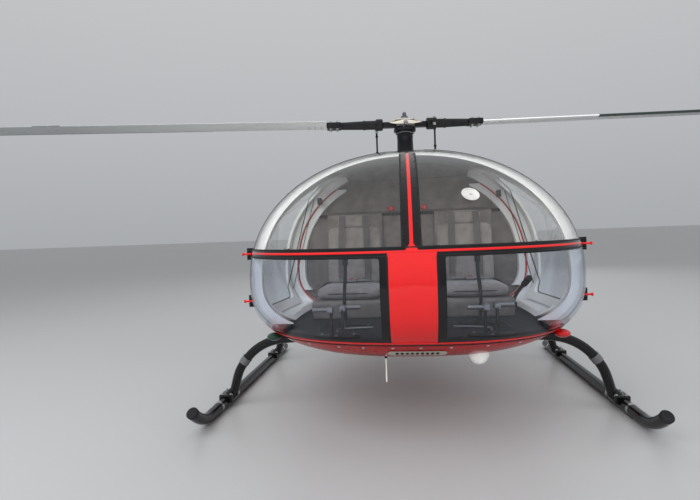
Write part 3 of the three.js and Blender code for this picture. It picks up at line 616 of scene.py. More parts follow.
def pillar_curve(t):
    """Station and height along the pillar curve, for t from 0 at its bend to 1 at its top."""
    foot, top = Vector((PILLAR["foot"], PILLAR["bend_z"])), Vector((PILLAR["top"], PILLAR["top_z"]))
    return quadratic(foot, Vector(PILLAR["bow"]), top, t)


def ahead_of_pillar(name, shift):
    outline = [(-FAR, 0), (PILLAR["foot"] + shift, 0), (PILLAR["foot"] + shift, PILLAR["bend_z"])]
    steps = 24
    for k in range(1, steps + 1):
        y, z = pillar_curve(k / steps)
        outline.append((y + shift, z))
    outline += [(PILLAR["top"] + shift, FAR), (-FAR, FAR)]
    return prism(name, outline, "x", -FAR, FAR)


def slab(low, high):
    return block("slab", (-FAR, FAR), (-FAR, FAR), (low, high))


def strip_between(half):
    return block("strip", (-half, half), (-FAR, FAR), (0, FAR))


outer = bubble_solid("outer", 0)
frame_skin = carve(copy_of(outer, "frame_skin"),
                   (CUT, bubble_solid("frame_inner", FRAME_THICK, JUST_BEHIND_Y)))
glass_skin = carve(copy_of(outer, "glass_skin"),
                   (CUT, bubble_solid("glass_inner", GLASS_THICK, JUST_BEHIND_Y)))
front_cut = ahead_of_pillar("front_cut", -SEAM)
rear_cut = ahead_of_pillar("rear_cut", 0)
left_half = block("left_half", (0, FAR), (-FAR, FAR), (0, FAR))


def nose_panels():
    frame_front = carve(copy_of(frame_skin, "frame_front"), (KEEP, front_cut))
    glass_front = carve(copy_of(glass_skin, "glass_front"), (KEEP, front_cut))
    above = carve(copy_of(glass_front, "above"), (KEEP, slab(WAIST_Z[1] + SEAM, FAR)),
                  (CUT, strip_between(POST_HALF + SEAM)))
    below = carve(copy_of(glass_front, "below"), (KEEP, slab(RIM_Z + SEAM, WAIST_Z[0] - SEAM)),
                  (CUT, strip_between(NOSE_HALF + SEAM)))
    for panes, node_name, finish in ((above, "windshield", "clear"), (below, "chin_window", "smoke")):
        for side, operation in (("left", KEEP), ("right", CUT)):
            name = f"{node_name}_{side}"
            pane = carve(copy_of(panes, name + "_pane"), (operation, left_half))
            add(curved_shading(pane), finish, replaces=[name])
    band = carve(copy_of(frame_front, "waist_band_skin"), (KEEP, slab(*WAIST_Z)))
    add(curved_shading(band), "black", replaces=["waist_band"])
    post = carve(copy_of(frame_front, "centre_post_skin"), (KEEP, slab(WAIST_Z[1] + SEAM, FAR)),
                 (KEEP, strip_between(POST_HALF)))
    add(curved_shading(post), "black", replaces=["centre_post"])
    nose = carve(copy_of(frame_front, "nose_panel_skin"),
                 (KEEP, slab(RIM_Z + SEAM, WAIST_Z[0] - SEAM)), (KEEP, strip_between(NOSE_HALF)))
    add(curved_shading(nose), "red", replaces=["nose_panel"])


def door_prism(inset):
    return prism("door_prism", rounded_outline(DOOR_OUTLINE, inset, DOOR_CORNER), "x", 0, FAR)


def mirrored(obj, name):
    twin = copy_of(obj, name)
    twin.data.transform(Matrix.Scale(-1, 4, (1, 0, 0)))
    twin.data.flip_normals()
    return twin


def cabin_shell():
    behind = carve(copy_of(frame_skin, "behind"), (CUT, rear_cut), (KEEP, slab(RIM_Z + SEAM, FAR)))
    roof = carve(copy_of(behind, "roof_skin"), (KEEP, slab(WIDEST_Z, FAR)),
                 (KEEP, strip_between(ROOF_HALF)))
    add(curved_shading(roof), "white", replaces=["roof_panel"])
    side = carve(copy_of(behind, "surround_left"), (CUT, strip_between(ROOF_HALF + SEAM)),
                 (KEEP, left_half), (CUT, door_prism(0)))
    twin = mirrored(side, "surround_right")
    add(curved_shading(side), "white", replaces=["door_frame_left"])
    add(curved_shading(twin), "white", replaces=["door_frame_right"])
    tub = carve(copy_of(frame_skin, "belly_skin"), (KEEP, slab(0, RIM_Z)),
                (CUT, leg_tube("front_tube_room", CROSS["front"], SEAM)))
    # The belly tub takes the darker red, which is painted shade for the underside.
    add(curved_shading(tub), "belly_red", replaces=["belly_tub"])


def doors():
    rim = carve(copy_of(frame_skin, "door_rim_left"), (KEEP, door_prism(DOOR_GAP)),
                (CUT, door_prism(DOOR_GAP + DOOR_RAIL)))
    pane = carve(copy_of(glass_skin, "door_pane_left"), (KEEP, door_prism(DOOR_GAP + DOOR_RAIL + SEAM)))
    twins = (mirrored(rim, "door_rim_right"), mirrored(pane, "door_pane_right"))
    for side, (ring, glazing) in (("left", (rim, pane)), ("right", twins)):
        add(curved_shading(ring), "white", f"door_{side}", [f"door_{side}"])
        add(curved_shading(glazing), "clear", f"door_{side}", [f"door_window_{side}"])


# Swept, turned and stamped forms
def smooth_path(points, steps=8):
    """A curve through all the points."""
    p = [Vector(q) for q in points]
    p = [p[0] * 2 - p[1], *p, p[-1] * 2 - p[-2]]
    path = []
    for i in range(1, len(p) - 2):
        for k in range(steps):
            t = k / steps
            path.append(0.5 * (2 * p[i] + (p[i + 1] - p[i - 1]) * t
                               + (2 * p[i - 1] - 5 * p[i] + 4 * p[i + 1] - p[i + 2]) * t**2
                               + (3 * p[i] - p[i - 1] - 3 * p[i + 1] + p[i + 2]) * t**3))
    path.append(p[-2])
    return path


def swept(name, path, outline, ups=None, loop=False):
    """A skin along a path. The outline holds offsets to the side and upwards at each point."""
    path = [Vector(p) for p in path]
    count = len(path)
    up = Vector(ups[0]) if ups is not None else None
    rings = []
    for i, point in enumerate(path):
        before = path[i - 1] if i or loop else path[0]
        after = path[(i + 1) % count] if i + 1 < count or loop else path[-1]
        along = (after - before).normalized()
        if ups is not None:
            up = Vector(ups[i])
        elif up is None:
            up = along.orthogonal()
        side = along.cross(up).normalized()
        up = side.cross(along).normalized()
        rings.append([tuple(point + side * a + up * b) for a, b in outline])
    return loft(name, rings, loop)


def circle(radius, sides, start=0.0):
    turns = [i / sides * math.tau + start for i in range(sides)]
    return [(radius * math.cos(a), radius * math.sin(a)) for a in turns]


def tube(name, points, radius, sides=16, steps=8, loop=False):
    path = smooth_path(points, steps) if steps > 1 else points
    return swept(name, path, circle(radius, sides), loop=loop)


def bead(name, path, width, rise, sink=0.0015, loop=False):
    """A low rounded strip that lies along the bubble's skin."""
    half = width / 2
    outline = [(-half, -sink), (-half, rise * 0.55), (-half * 0.6, rise), (half * 0.6, rise),
               (half, rise * 0.55), (half, -sink)]
    normals = bubble_normals(np.array([tuple(p) for p in path]))
    return swept(name, path, outline, normals, loop)


def cylinder(radius, low, high):
    """Profile of a plain closed cylinder."""
    return [(0, low), (radius, low), (radius, high), (0, high)]


def ball(radius, reach, count):
    """Profile of a closed ball, with rings between the turns -reach and reach."""
    rings = [(radius * math.cos(a), radius * math.sin(a)) for a in np.linspace(-reach, reach, count)]
    return [(0, -radius), *rings, (0, radius)]


def turned_shape(profile, sides):
    """Corners and faces of a profile of radius and height turned about +Z. Radius 0 closes an end."""
    corners, faces, rings = [], [], []
    for radius, height in profile:
        if radius < 1e-6:
            rings.append([len(corners)])
            corners.append((0, 0, height))
            continue
        rings.append(list(range(len(corners), len(corners) + sides)))
        corners += [(a, b, height) for a, b in circle(radius, sides)]
    for low, high in zip(rings, rings[1:]):
        for i in range(sides):
            j = (i + 1) % sides
            if len(low) == 1:
                faces.append((low[0], high[j], high[i]))
            elif len(high) == 1:
                faces.append((low[i], low[j], high[0]))
            else:
                faces.append((low[i], low[j], high[j], high[i]))
    return corners, faces


def aimed(point, direction, size=1.0):
    turn = Vector(direction).to_track_quat("Z", "Y").to_matrix().to_4x4()
    return Matrix.Translation(Vector(point)) @ turn @ Matrix.Scale(size, 4)


def stamped(name, shape, places):
    """One mesh with a copy of the shape at each place, given as a matrix."""
    corners, faces = [], []
    for place in places:
        base = len(corners)
        corners += [tuple(place @ Vector(c)) for c in shape[0]]
        faces += [tuple(base + i for i in face) for face in shape[1]]
    return outward(object_from(name, corners, faces), weld=0)


def turned(name, profile, point=(0, 0, 0), direction=UP, sides=32):
    return stamped(name, turned_shape(profile, sides), [aimed(point, direction)])


def merged(name, objects):
    """One object from several that share a finish."""
    shape = bmesh.new()
    for obj in objects:
        shape.from_mesh(obj.data)
    mesh = bpy.data.meshes.new(name)
    shape.to_mesh(mesh)
    shape.free()
    whole = bpy.data.objects.new(name, mesh)
    bpy.context.scene.collection.objects.link(whole)
    TOOLS.add(whole)
    return whole


def bevelled(obj, width, segments=3):
    shape = bmesh.new()
    shape.from_mesh(obj.data)
    edges = [e for e in shape.edges if len(e.link_faces) == 2 and e.calc_face_angle(0) > 0.5]
    bmesh.ops.bevel(shape, geom=edges, offset=width, segments=segments, profile=0.5, affect="EDGES",
                    clamp_overlap=True)
    shape.to_mesh(obj.data)
    shape.free()
    return obj


def soft_block(name, x, y, z, width=0.004, segments=3):
    return bevelled(block(name, x, y, z), width, segments)


def dome(radius, height, rings=5):
    """Profile of a rounded screw or rivet head."""
    return [(radius * math.cos(k / rings * math.pi / 2), height * math.sin(k / rings * math.pi / 2))
            for k in range(rings)] + [(0, height)]


RIVET = turned_shape([(0.0, -0.001), (0.0042, -0.001), *dome(0.0042, 0.0014, 3)], 10)
SCREW = turned_shape([(0, -0.001), (0.0085, -0.001), *dome(0.0085, 0.003, 4)], 14)
WASHER = turned_shape([(0, -0.001), (0.014, -0.001), (0.014, 0.0018), (0.0125, 0.0026), (0, 0.0026)], 20)
NUT = turned_shape([(0, 0.002), (0.0092, 0.002), (0.0092, 0.0085), (0.0078, 0.0100), (0, 0.0100)], 6)
THREAD = turned_shape([(0, 0.009), (0.0046, 0.009), (0.0046, 0.0155), (0.0036, 0.0165), (0, 0.0165)], 12)


def hex_bolts(name, places, finish="alloy", body=ROOT, size=1.0):
    """Washers with hexagon nuts and a bit of thread, at points with a direction."""
    where = [aimed(point, direction, size) for point, direction in places]
    heads = [stamped(name + part, shape, where) for part, shape in
             (("_washer", WASHER), ("_nut", NUT), ("_thread", THREAD))]
    return add(merged(name, heads), finish, body)


def screws(name, places, finish="alloy", body=ROOT, size=1.0, shape=SCREW):
    return add(stamped(name, shape, [aimed(p, d, size) for p, d in places]), finish, body)


# Places on the bubble
def skin_x(y, z, depth=0.0):
    """Half width of the bubble at a station and height, at a depth inside its skin."""
    half, up, down = section_reach(np.array([y]), depth)
    power = UPPER_SECTION_POWER if z > WIDEST_Z else LOWER_SECTION_POWER
    share = min(1.0, abs(z - WIDEST_Z) / float((up if z > WIDEST_Z else down)[0] + 1e-9))
    return float(half[0]) * (1 - share**power) ** (1 / power)


def side_point(y, z, side=1):
    return (side * skin_x(y, z), y, z)


def nose_y(z):
    """Station where the skin closes at a height, on the centre plane."""
    near, far = NOSE_Y, WIDEST_Y
    for _ in range(40):
        mid = (near + far) / 2
        near, far = (mid, far) if skin_x(mid, z) <= 1e-4 else (near, mid)
    return far


def level_path(z, stop_y, count=60):
    """Around the nose at one height, from the right side to the left."""
    start = nose_y(z)
    half = []
    for i in range(count + 1):
        y = start + (stop_y - start) * (i / count) ** 2
        half.append((0.0 if i == 0 else skin_x(y, z), y, z))
    return [(-x, y, h) for x, y, h in reversed(half[1:])] + half


def pillar_path(shift=0.0, low=RIM_Z, count=90):
    """Up the left pillar edge, over the roof and down the right one."""
    left, straight = [], 12
    for i in range(straight):
        z = low + (PILLAR["bend_z"] - low) * i / straight
        left.append((skin_x(PILLAR["foot"] + shift, z), PILLAR["foot"] + shift, z))
    for i in range(count + 1):
        y, z = pillar_curve(i / count)
        x = skin_x(y + shift, z)
        if x <= 1e-3:
            break
        left.append((x, y + shift, z))
    right = [(-x, y, z) for x, y, z in reversed(left)]
    return left + right


def post_path(low, x=0.0, stop_shift=-0.004):
    """Up the nose on one upright plane, to the pillar's edge."""
    path = []
    for i in range(120):
        angle = -0.6 + i / 119 * 2.1
        p = on_bubble((x, -0.75, WIDEST_Z), (0, -math.cos(angle), math.sin(angle)))
        if p[2] < low:
            continue
        if p[1] > PILLAR["foot"] and p[2] > pillar_height(p[1] - stop_shift):
            break
        path.append(tuple(p))
    return path


def pillar_height(y):
    """Height of the pillar curve at a station behind its bend."""
    low, high = 0.0, 1.0
    for _ in range(30):
        mid = (low + high) / 2
        low, high = (mid, high) if pillar_curve(mid)[0] < y else (low, mid)
    return pillar_curve(low)[1]


# Edges, seals and lines on the cabin
def cabin_lines():
    post = post_path(WAIST_Z[1])
    add(bead("post_red_line", post, 0.0165, 0.0022), "red")
    for side, sign in SIDES:
        edge = post_path(WAIST_Z[1], sign * (POST_HALF + 0.001))
        add(bead(f"post_seal_{side}", edge, 0.009, 0.0018), "rubber")
        low = [p for p in post_path(RIM_Z, sign * (NOSE_HALF + 0.001)) if p[2] < WAIST_Z[0]]
        add(bead(f"nose_panel_seal_{side}", low, 0.008, 0.0018), "rubber")
    stop = PILLAR["foot"] - 0.003
    red_z = (WAIST_Z[0] + WAIST_Z[1]) / 2
    add(bead("waist_red_line", level_path(red_z, stop), 0.011, 0.0024), "red")
    add(bead("waist_seal_upper", level_path(WAIST_Z[1], stop), 0.007, 0.0016), "rubber")
    for side, sign in SIDES:
        low = [p for p in level_path(WAIST_Z[0], stop) if sign * p[0] > NOSE_HALF]
        add(bead(f"waist_seal_lower_{side}", low, 0.007, 0.0016), "rubber")
    add(bead("rim_red_line", level_path(RIM_Z + 0.006, stop), 0.012, 0.0030), "red")
    # The black bead just under the red rim line is painted shade: it stands for the shadow in the gap between
    # the belly and the panels above.
    add(bead("rim_shadow_line", level_path(RIM_Z - 0.008, CABIN_REAR_Y - 0.003, 80), 0.009, 0.0016), "rubber")
    add(bead("pillar_seal", pillar_path(-0.001), 0.013, 0.0030), "rubber")


def borders():
    """Black borders printed on the panes: round both lower windows and along the pillar."""
    film = carve(bubble_solid("film", -0.0006), (CUT, bubble_solid("film_inner", 0.0001, WELL_BEHIND_Y)),
                 (KEEP, front_cut))
    lower = carve(copy_of(film, "lower_film"), (KEEP, slab(RIM_Z + 0.002, WAIST_Z[0] - 0.002)),
                  (CUT, strip_between(NOSE_HALF + 0.002)))
    left, low, high = NOSE_HALF + 0.036, RIM_Z + 0.026, WAIST_Z[0] - 0.008
    clear = [(left, low), (left, high), (1.2, high), (1.2, low)]
    for _, sign in SIDES:
        opening = [(sign * x, z) for x, z in rounded_outline(clear, 0, 0.012)]
        carve(lower, (CUT, prism("opening", opening, "y", -FAR, FAR)))
    add(curved_shading(lower), "black", name="lower_window_border")
    edge = carve(copy_of(film, "pillar_film"), (CUT, ahead_of_pillar("inner_edge", -0.020)),
                 (KEEP, slab(WAIST_Z[1] + 0.002, FAR)))
    add(curved_shading(edge), "black", name="windshield_border")
    low, high = WAIST_Z[0] - 0.001, sum(WAIST_Z) / 2 + 0.004
    right_half = [(-NOSE_HALF, low), (-NOSE_HALF, high), (-0.030, high), (-0.0095, high + 0.030)]
    flare = right_half + [(-x, z) for x, z in reversed(right_half)]
    red = carve(copy_of(film, "nose_red_film"), (KEEP, prism("flare", flare, "y", -FAR, 0)))
    add(curved_shading(red), "red", name="nose_panel_flare")


def raised_hoop_inner():
    """The inside of the front hoop, which thins out towards the roof."""
    inner = bubble_solid("raised_hoop_inner", FRAME_THICK + HOOP_DEEP, JUST_BEHIND_Y)
    for corner in inner.data.vertices:
        if corner.co.z > WIDEST_Z:
            corner.co.z = WIDEST_Z + (corner.co.z - WIDEST_Z) * HOOP_RISE
    return inner


def hoops():
    """The white hoops inside the cabin, along the pillar and at the rear wall, and the door's jamb."""
    inner = FRAME_THICK + HOOP_DEEP
    whole = carve(bubble_solid("hoop_outer", FRAME_THICK - 0.002),
                  (CUT, bubble_solid("hoop_inner", inner, JUST_BEHIND_Y)))
    ring = carve(copy_of(whole, "hoop_ring"),
                 (KEEP, block("hoop_room", (ROOF_HALF + SEAM, FAR), (-FAR, FAR), (RIM_Z + SEAM, FAR))))
    at_pillar = (KEEP, ahead_of_pillar("hoop_cut", HOOP_FRONT)), (CUT, rear_cut)
    front_room = carve(copy_of(ring, "front_room"), *at_pillar)
    front = carve(copy_of(front_room, "front_hoop_left"), (CUT, raised_hoop_inner()))
    overhead = block("bow_room", (-ROOF_HALF, ROOF_HALF), (-FAR, FAR), (1.0, FAR))
    bow = carve(copy_of(whole, "front_hoop_bow"), *at_pillar, (KEEP, overhead), (CUT, raised_hoop_inner()))
    add(bow, "white")
    back_y = WALL_Y - SEAM
    front_y = back_y - HOOP_REAR
    rear_all = carve(copy_of(ring, "rear_hoop"),
                     (KEEP, block("hoop_cut", (0, FAR), (front_y, back_y), (0, FAR))))
    rear = carve(copy_of(rear_all, "rear_hoop_left"), (KEEP, slab(0, HOOP_WHITE_TOP)))
    arch = carve(copy_of(rear_all, "rear_arch_left"), (KEEP, slab(HOOP_WHITE_TOP, FAR)))
    for obj in (arch, mirrored(arch, "rear_arch_right")):
        add(obj, "lining")
    jamb = carve(copy_of(ring, "jamb_left"), (KEEP, door_prism(-HOOP_REAR)), (CUT, door_prism(0)),
                 (CUT, front_room), (CUT, copy_of(rear, "rear_room")))
    edge_y = front_y - 0.003
    strip_room = block("strip_room", (ROOF_HALF + 0.02, FAR), (edge_y, back_y),
                       (RIM_Z + 0.11, HOOP_WHITE_TOP))
    strip = carve(bubble_solid("strip_outer", inner - 0.004),
                  (CUT, bubble_solid("strip_inner", inner + 0.050, WELL_BEHIND_Y)), (KEEP, strip_room))
    pieces = ((front, "front_hoop"), (rear, "rear_hoop"), (jamb, "door_jamb"), (strip, "rear_post_strip"))
    for left, name in pieces:
        right = mirrored(left, name + "_right")
        for obj in (left, right):
            add(obj, "white")
    for side, sign in SIDES:
        path = []
        for z in np.linspace(RIM_Z + 0.02, HOOP_WHITE_TOP, 70):
            x = skin_x(edge_y, float(z), inner + 0.001)
            if x > ROOF_HALF:
                path.append((sign * x, edge_y, float(z)))
        add(tube(f"rear_hoop_red_edge_{side}", path, 0.006, 10, 1), "red")


def headliner():
    """Dark cloth that lines the roof, the pillar's inside and the cabin's upper corners."""
    depth = FRAME_THICK + 0.0006
    opening = door_prism(-HOOP_REAR - 0.002)
    lining = carve(bubble_solid("headliner", depth),
                   (CUT, bubble_solid("below_lining", depth + 0.004, WELL_BEHIND_Y)),
                   (KEEP, block("lining_room", (-FAR, FAR), (-FAR, WALL_Y - 0.002), (1.2, FAR))),
                   (CUT, ahead_of_pillar("lining_front", 0.004)), (CUT, opening),
                   (CUT, mirrored(opening, "opening_right")))
    add(lining, "lining", name="headliner")


def belly_screws():
    """Screws along the belly's rim, and up both edges of the centre post."""
    places = []
    for x in (-0.64, -0.52, -0.36, -0.24, -0.10, 0.03, 0.17, 0.34, 0.50, 0.62):
        p = on_bubble((x, -1.0, WIDEST_Z), (0.0, -0.62, -0.42))
        for _ in range(12):
            p = on_bubble((x, -1.0, WIDEST_Z), (0.0, p[1] + 1.0, RIM_Z - 0.026 - WIDEST_Z))
        places.append((p, bubble_normals(p[None])[0]))
    screws("belly_rim_screw", places)
    seam = []
    for _, sign in SIDES:
        for k in range(9):
            q = post_path(WAIST_Z[1] + 0.05 + k * 0.055, sign * (POST_HALF - 0.010))[0]
            seam.append((q, bubble_normals(np.array([q]))[0]))
    screws("post_screw", seam, "satin", size=0.55)


def hinge(name, side, sign, z):
    """One hinge: lugs and a pull on the cabin, an arm with its barrel on the door."""
    x, y, half, door = HINGE["x"], HINGE["y"], HINGE["half"], f"door_{side}"
    tall = around(z, half)
    arm = soft_block("arm", between(sign, 0.950, 0.965), (y - 0.004, y + 0.088), tall, 0.003)
    foot = soft_block("foot", between(sign, 0.920, 0.965), (y + 0.062, y + 0.088), tall, 0.002)
    barrel = turned("barrel", cylinder(0.009, -half, half), (sign * x, y, z), sides=24)
    add(merged(f"{name}_arm_{side}", [arm, foot, barrel]), "black", door)
    pull_y = y - 0.016
    pull = tube("pull", [(sign * (x + dx), pull_y, z) for dx in (-0.022, 0.030)], 0.0062, 14, 1)
    knob = turned("knob", [(0, 0), (0.008, 0), (0.009, 0.002), (0.009, 0.008), (0, 0.010)],
                  (sign * (x + 0.024), pull_y, z), (sign, 0, 0), 20)
    add(merged(f"{name}_pull_{side}", [pull, knob]), "red")
    spots = [(y + dy, z + dz) for dy in (0.030, 0.062) for dz in (-0.012, 0.012)]
    heads = [((sign * 0.9655, *spot), (sign, 0, 0)) for spot in spots]
    screws(f"{name}_screw_{side}", heads, "alloy", door, 0.6)
    lugs = []
    for low, high in ((half + 0.0005, half + 0.0125), (-half - 0.0125, -half - 0.0005)):
        level = (z + low, z + high)
        lugs.append(soft_block("lug", between(sign, 0.910, x), around(y, 0.009), level, 0.002, 2))
        lugs.append(turned("eye", cylinder(0.009, low, high), (sign * x, y, z), sides=24))
    add(merged(f"{name}_lug_{side}", lugs), "black")


def hinges():
    for side, sign in SIDES:
        for level, z in HINGE["levels"].items():
            hinge(f"{level}_hinge", side, sign, z)


def door_fittings():
    for side, sign in SIDES:
        body = f"door_{side}"
        for name, inset, width, rise in (("door_window_seal", DOOR_GAP + DOOR_RAIL, 0.010, 0.0024),
                                         ("door_edge", DOOR_GAP + 0.004, 0.006, 0.0012)):
            rim = [side_point(y, z, sign) for y, z in rounded_outline(DOOR_OUTLINE, inset, DOOR_CORNER, 12)]
            add(bead(f"{name}_{side}", rim, width, rise, loop=True), "rubber", body)
        y, z = -0.232, 0.900
        x = side_point(y, z, sign)[0]
        plate = soft_block("plate", between(1, x - sign * 0.002, x + sign * 0.004), (y - 0.018, y + 0.016),
                           around(z, 0.060), 0.003)
        bow = ((0.003, 0, 0.045), (0.024, -0.002, 0.034), (0.026, -0.004, -0.020), (0.018, -0.003, -0.052))
        grip = tube("grip", [(x + sign * out, y + dy, z + dz) for out, dy, dz in bow], 0.0062, 12)
        add(merged(f"door_handle_{side}", [plate, grip]), "alloy", body)
        lock = [(0, 0), (0.010, 0), (0.010, 0.003), (0.008, 0.004), (0, 0.004)]
        add(turned(f"door_lock_{side}", lock, (x + sign * 0.002, y + 0.001, z - 0.085), (sign, 0, 0), 24),
            "steel", body)
        x = side_point(-0.300, 0.905, sign)[0] - sign * (FRAME_THICK + 0.002)
        latch = soft_block(f"inner_latch_{side}", between(1, x, x - sign * 0.014), (-0.262, -0.216),
                           (0.865, 0.935), 0.004)
        add(latch, "satin", body)
        x = side_point(-0.235, 1.290, sign)[0] - sign * (FRAME_THICK + HOOP_DEEP + 0.030)
        hook = soft_block(f"upper_latch_{side}", between(1, x, x + sign * 0.030), (-0.262, -0.214),
                          (1.250, 1.300), 0.006)
        add(hook, "satin")
        scoop = on_bubble((0, -0.62, 1.02), (sign, 0.0, 0.30))
        dish = [(0, 0.0002), (0.045, 0.0002), (0.047, 0.002), (0.045, 0.005), (0.036, 0.006), (0.034, 0.003),
                (0, 0.003)]
        add(turned(f"door_vent_{side}", dish, scoop, bubble_normals(scoop[None])[0], 40), "rubber", body)


def windshield_vent():
    p = on_bubble((0.282, -0.60, 1.185), (0.0, -1, 0.0))
    n = bubble_normals(p[None])[0]
    ring = [(0, 0.0002), (0.042, 0.0002), (0.043, 0.0024), (0.041, 0.0044), (0.033, 0.0044), (0.031, 0.0028),
            (0, 0.0028)]
    knob = [(0, 0.002), (0.006, 0.002), (0.006, 0.007), (0.004, 0.009), (0, 0.009)]
    add(turned("windshield_vent_ring", ring, p, n, 48), "vent_white")
    add(turned("windshield_vent_knob", knob, p, n, 24), "vent_white")


# Cabin interior
def rounder(angle, power):
    """Cosine and sine of an angle, pushed out towards a square's corners by a power below 1."""
    c, s = math.cos(angle), math.sin(angle)
    return math.copysign(abs(c) ** power, c), math.copysign(abs(s) ** power, s)


def pillow(name, centre, half, turn=0.0, sides=48, rings=24):
    """A crowned cushion: a rounded block that is fuller in its middle than at its rim."""
    edge_power, plan_power, pinch = 2 / 3.2, 2 / 5.0, 0.05
    corners = []
    for k in range(1, rings):
        wide, up = rounder(-math.pi / 2 + k / rings * math.pi, edge_power)
        ring = []
        for i in range(sides):
            x, y = (wide * share for share in rounder(i / sides * math.tau, plan_power))
            pull = 1 - pinch * (x * x * (1 - y * y) + y * y * (1 - x * x))
            ring.append((x * half[0] * pull, y * half[1] * pull, up * half[2]))
        corners.append(ring)
    obj = loft(name, corners)
    obj.data.transform(Matrix.Translation(Vector(centre)) @ Matrix.Rotation(turn, 4, "X"))
    return obj


def strap(name, points, width, thick, ups):
    half = width / 2
    outline = [(-half, -thick / 2), (-half, thick / 2), (half, thick / 2), (half, -thick / 2)]
    return swept(name, points, outline, ups)


def seats():
    lower = [(-0.700, FLOOR_TOP), (-0.716, 0.585), (-0.700, 0.602), (-0.168, 0.602), (-0.168, FLOOR_TOP)]
    panel = [(-0.226, 0.640), (-0.172, 0.640), (-0.168, 1.170), (-0.190, 1.176)]
    cushion_y, cushion_z = -0.503, 0.645
    back_turn, head_turn = math.radians(82), math.radians(84)
    for side, sign in SIDES:
        x = sign * SEAT_X
        base = prism(f"seat_base_{side}", rounded_outline(lower, 0, 0.02, 5), "x", *around(x, 0.232))
        add(bevelled(base, 0.006), "trim", replaces=[f"seat_{side}"])
        shell = prism(f"seat_back_shell_{side}", rounded_outline(panel, 0, 0.02, 5), "x", *around(x, 0.205))
        add(bevelled(shell, 0.006), "trim")
        parts = {
            "cushion": ((x, cushion_y, cushion_z), (0.222, 0.204, 0.044), 0.0),
            "lower_back": ((x, -0.248, 0.760), (0.208, 0.116, 0.040), back_turn),
            "upper_back": ((x, -0.216, 0.975), (0.202, 0.108, 0.036), back_turn),
            "headrest": ((x, -0.205, 1.120), (0.125, 0.050, 0.032), head_turn),
        }
        for part, (centre, half, turn) in parts.items():
            piece = add(pillow(f"seat_{part}_{side}", centre, half, turn), "seat")
        rim = [rounder(i / 96 * math.tau, 0.42) for i in range(96)]
        seam = [(x + a * 0.213, cushion_y + b * 0.195, cushion_z) for a, b in rim]
        add(tube(f"seat_piping_{side}", seam, 0.0035, 8, 1, loop=True), "rubber")
        belts(side, x)


def belts(side, x):
    """Two shoulder belts, a lap belt and the buckle that joins them."""
    wide, thick = 0.045, 0.0022
    for number, offset in ((1, -0.085), (2, 0.085)):
        down = [(1, -0.190, 1.165), (1, -0.238, 1.150), (1.05, -0.262, 1.040), (1.1, -0.292, 0.860),
                (1.1, -0.305, 0.715), (0.7, -0.36, 0.698), (0.3, -0.46, 0.699)]
        path = smooth_path([(x + offset * share, y, z) for share, y, z in down])
        ups = [(0, -1, 0.15) if p.z > 0.73 else (0, -0.4, 1) for p in path]
        add(strap(f"shoulder_belt_{number}_{side}", path, wide, thick, ups), "belt")
    lap = [(-0.224, -0.33, 0.655), (-0.16, -0.40, 0.696), (0, -0.470, 0.703), (0.16, -0.40, 0.696),
           (0.224, -0.33, 0.655)]
    path = smooth_path([(x + dx, y, z) for dx, y, z in lap])
    add(strap(f"lap_belt_{side}", path, wide, thick, [(0, 0, 1)] * len(path)), "belt")
    buckle = soft_block(f"belt_buckle_{side}", around(x, 0.030), (-0.500, -0.440), (0.698, 0.716), 0.005)
    add(buckle, "alloy")
    button = [(0, 0), (0.016, 0), (0.016, 0.003), (0.012, 0.005), (0, 0.005)]
    add(turned(f"belt_button_{side}", button, (x, -0.470, 0.7155), sides=28), "red")


def rear_wall_trim():
    panels = {"upper": (0.02, 0.58, 1.185, 1.420, 0.86), "outer": (0.60, 0.80, 0.56, 1.150, 0.97)}
    front = WALL_Y - 0.0005
    knob = [(0, 0), (0.012, 0), (0.012, 0.016), (0.019, 0.020), (0.019, 0.034), (0.014, 0.040), (0, 0.040)]
    for side, sign in SIDES:
        for name, (x0, x1, z0, z1, lean) in panels.items():
            outline = [(sign * x0, z0), (sign * x1, z0), (sign * x1 * lean, z1), (sign * x0, z1)]
            panel = prism(f"wall_panel_{name}_{side}", rounded_outline(outline, 0, 0.03, 6), "y",
                          WALL_Y - 0.010, front)
            add(bevelled(panel, 0.004), "trim")
        add(turned(f"wall_knob_{side}", knob, (sign * 0.122, front, 1.205), (0, -1, 0)), "red")
    add(soft_block("wall_shelf", (-0.77, 0.77), (WALL_Y - 0.026, front), (1.158, 1.176), 0.004), "rubber")


def floor_details():
    for side, sign in SIDES:
        x = sign * SEAT_X
        plate = block(f"heel_plate_{side}", around(x, 0.14), (-1.02, -0.86),
                      (FLOOR_TOP + 0.0002, FLOOR_TOP + 0.0028))
        add(bevelled(plate, 0.001, 2), "satin")
        rib_z = (FLOOR_TOP + 0.0026, FLOOR_TOP + 0.0046)
        steps = [k * 0.016 for k in range(9)]
        ribs = [block("rib", around(x, 0.13), (step - 1.010, step - 1.005), rib_z) for step in steps]
        add(merged(f"heel_ribs_{side}", ribs), "rubber")


def console():
    outline = [(-1.440, FLOOR_TOP), (-1.485, 0.830), (-1.370, 0.915), (-1.300, 0.915), (-1.215, 0.700),
               (-1.180, FLOOR_TOP)]
    stand = carve(prism("console_stand", rounded_outline(outline, 0, 0.02, 5), "x", -0.095, 0.095),
                  (KEEP, bubble_solid("console_room", FRAME_THICK + 0.008)))
    add(bevelled(stand, 0.004), "satin", replaces=["instrument_console"])
    gauges()


def thin_plate(corners, thick):
    """Corners and faces of a four-sided plate that lies on z = 0."""
    points = [(x, y, z) for z in (0, thick) for x, y in corners]
    return points, [(0, 1, 2, 3), (7, 6, 5, 4), (0, 4, 5, 1), (1, 5, 6, 2), (2, 6, 7, 3), (3, 7, 4, 0)]


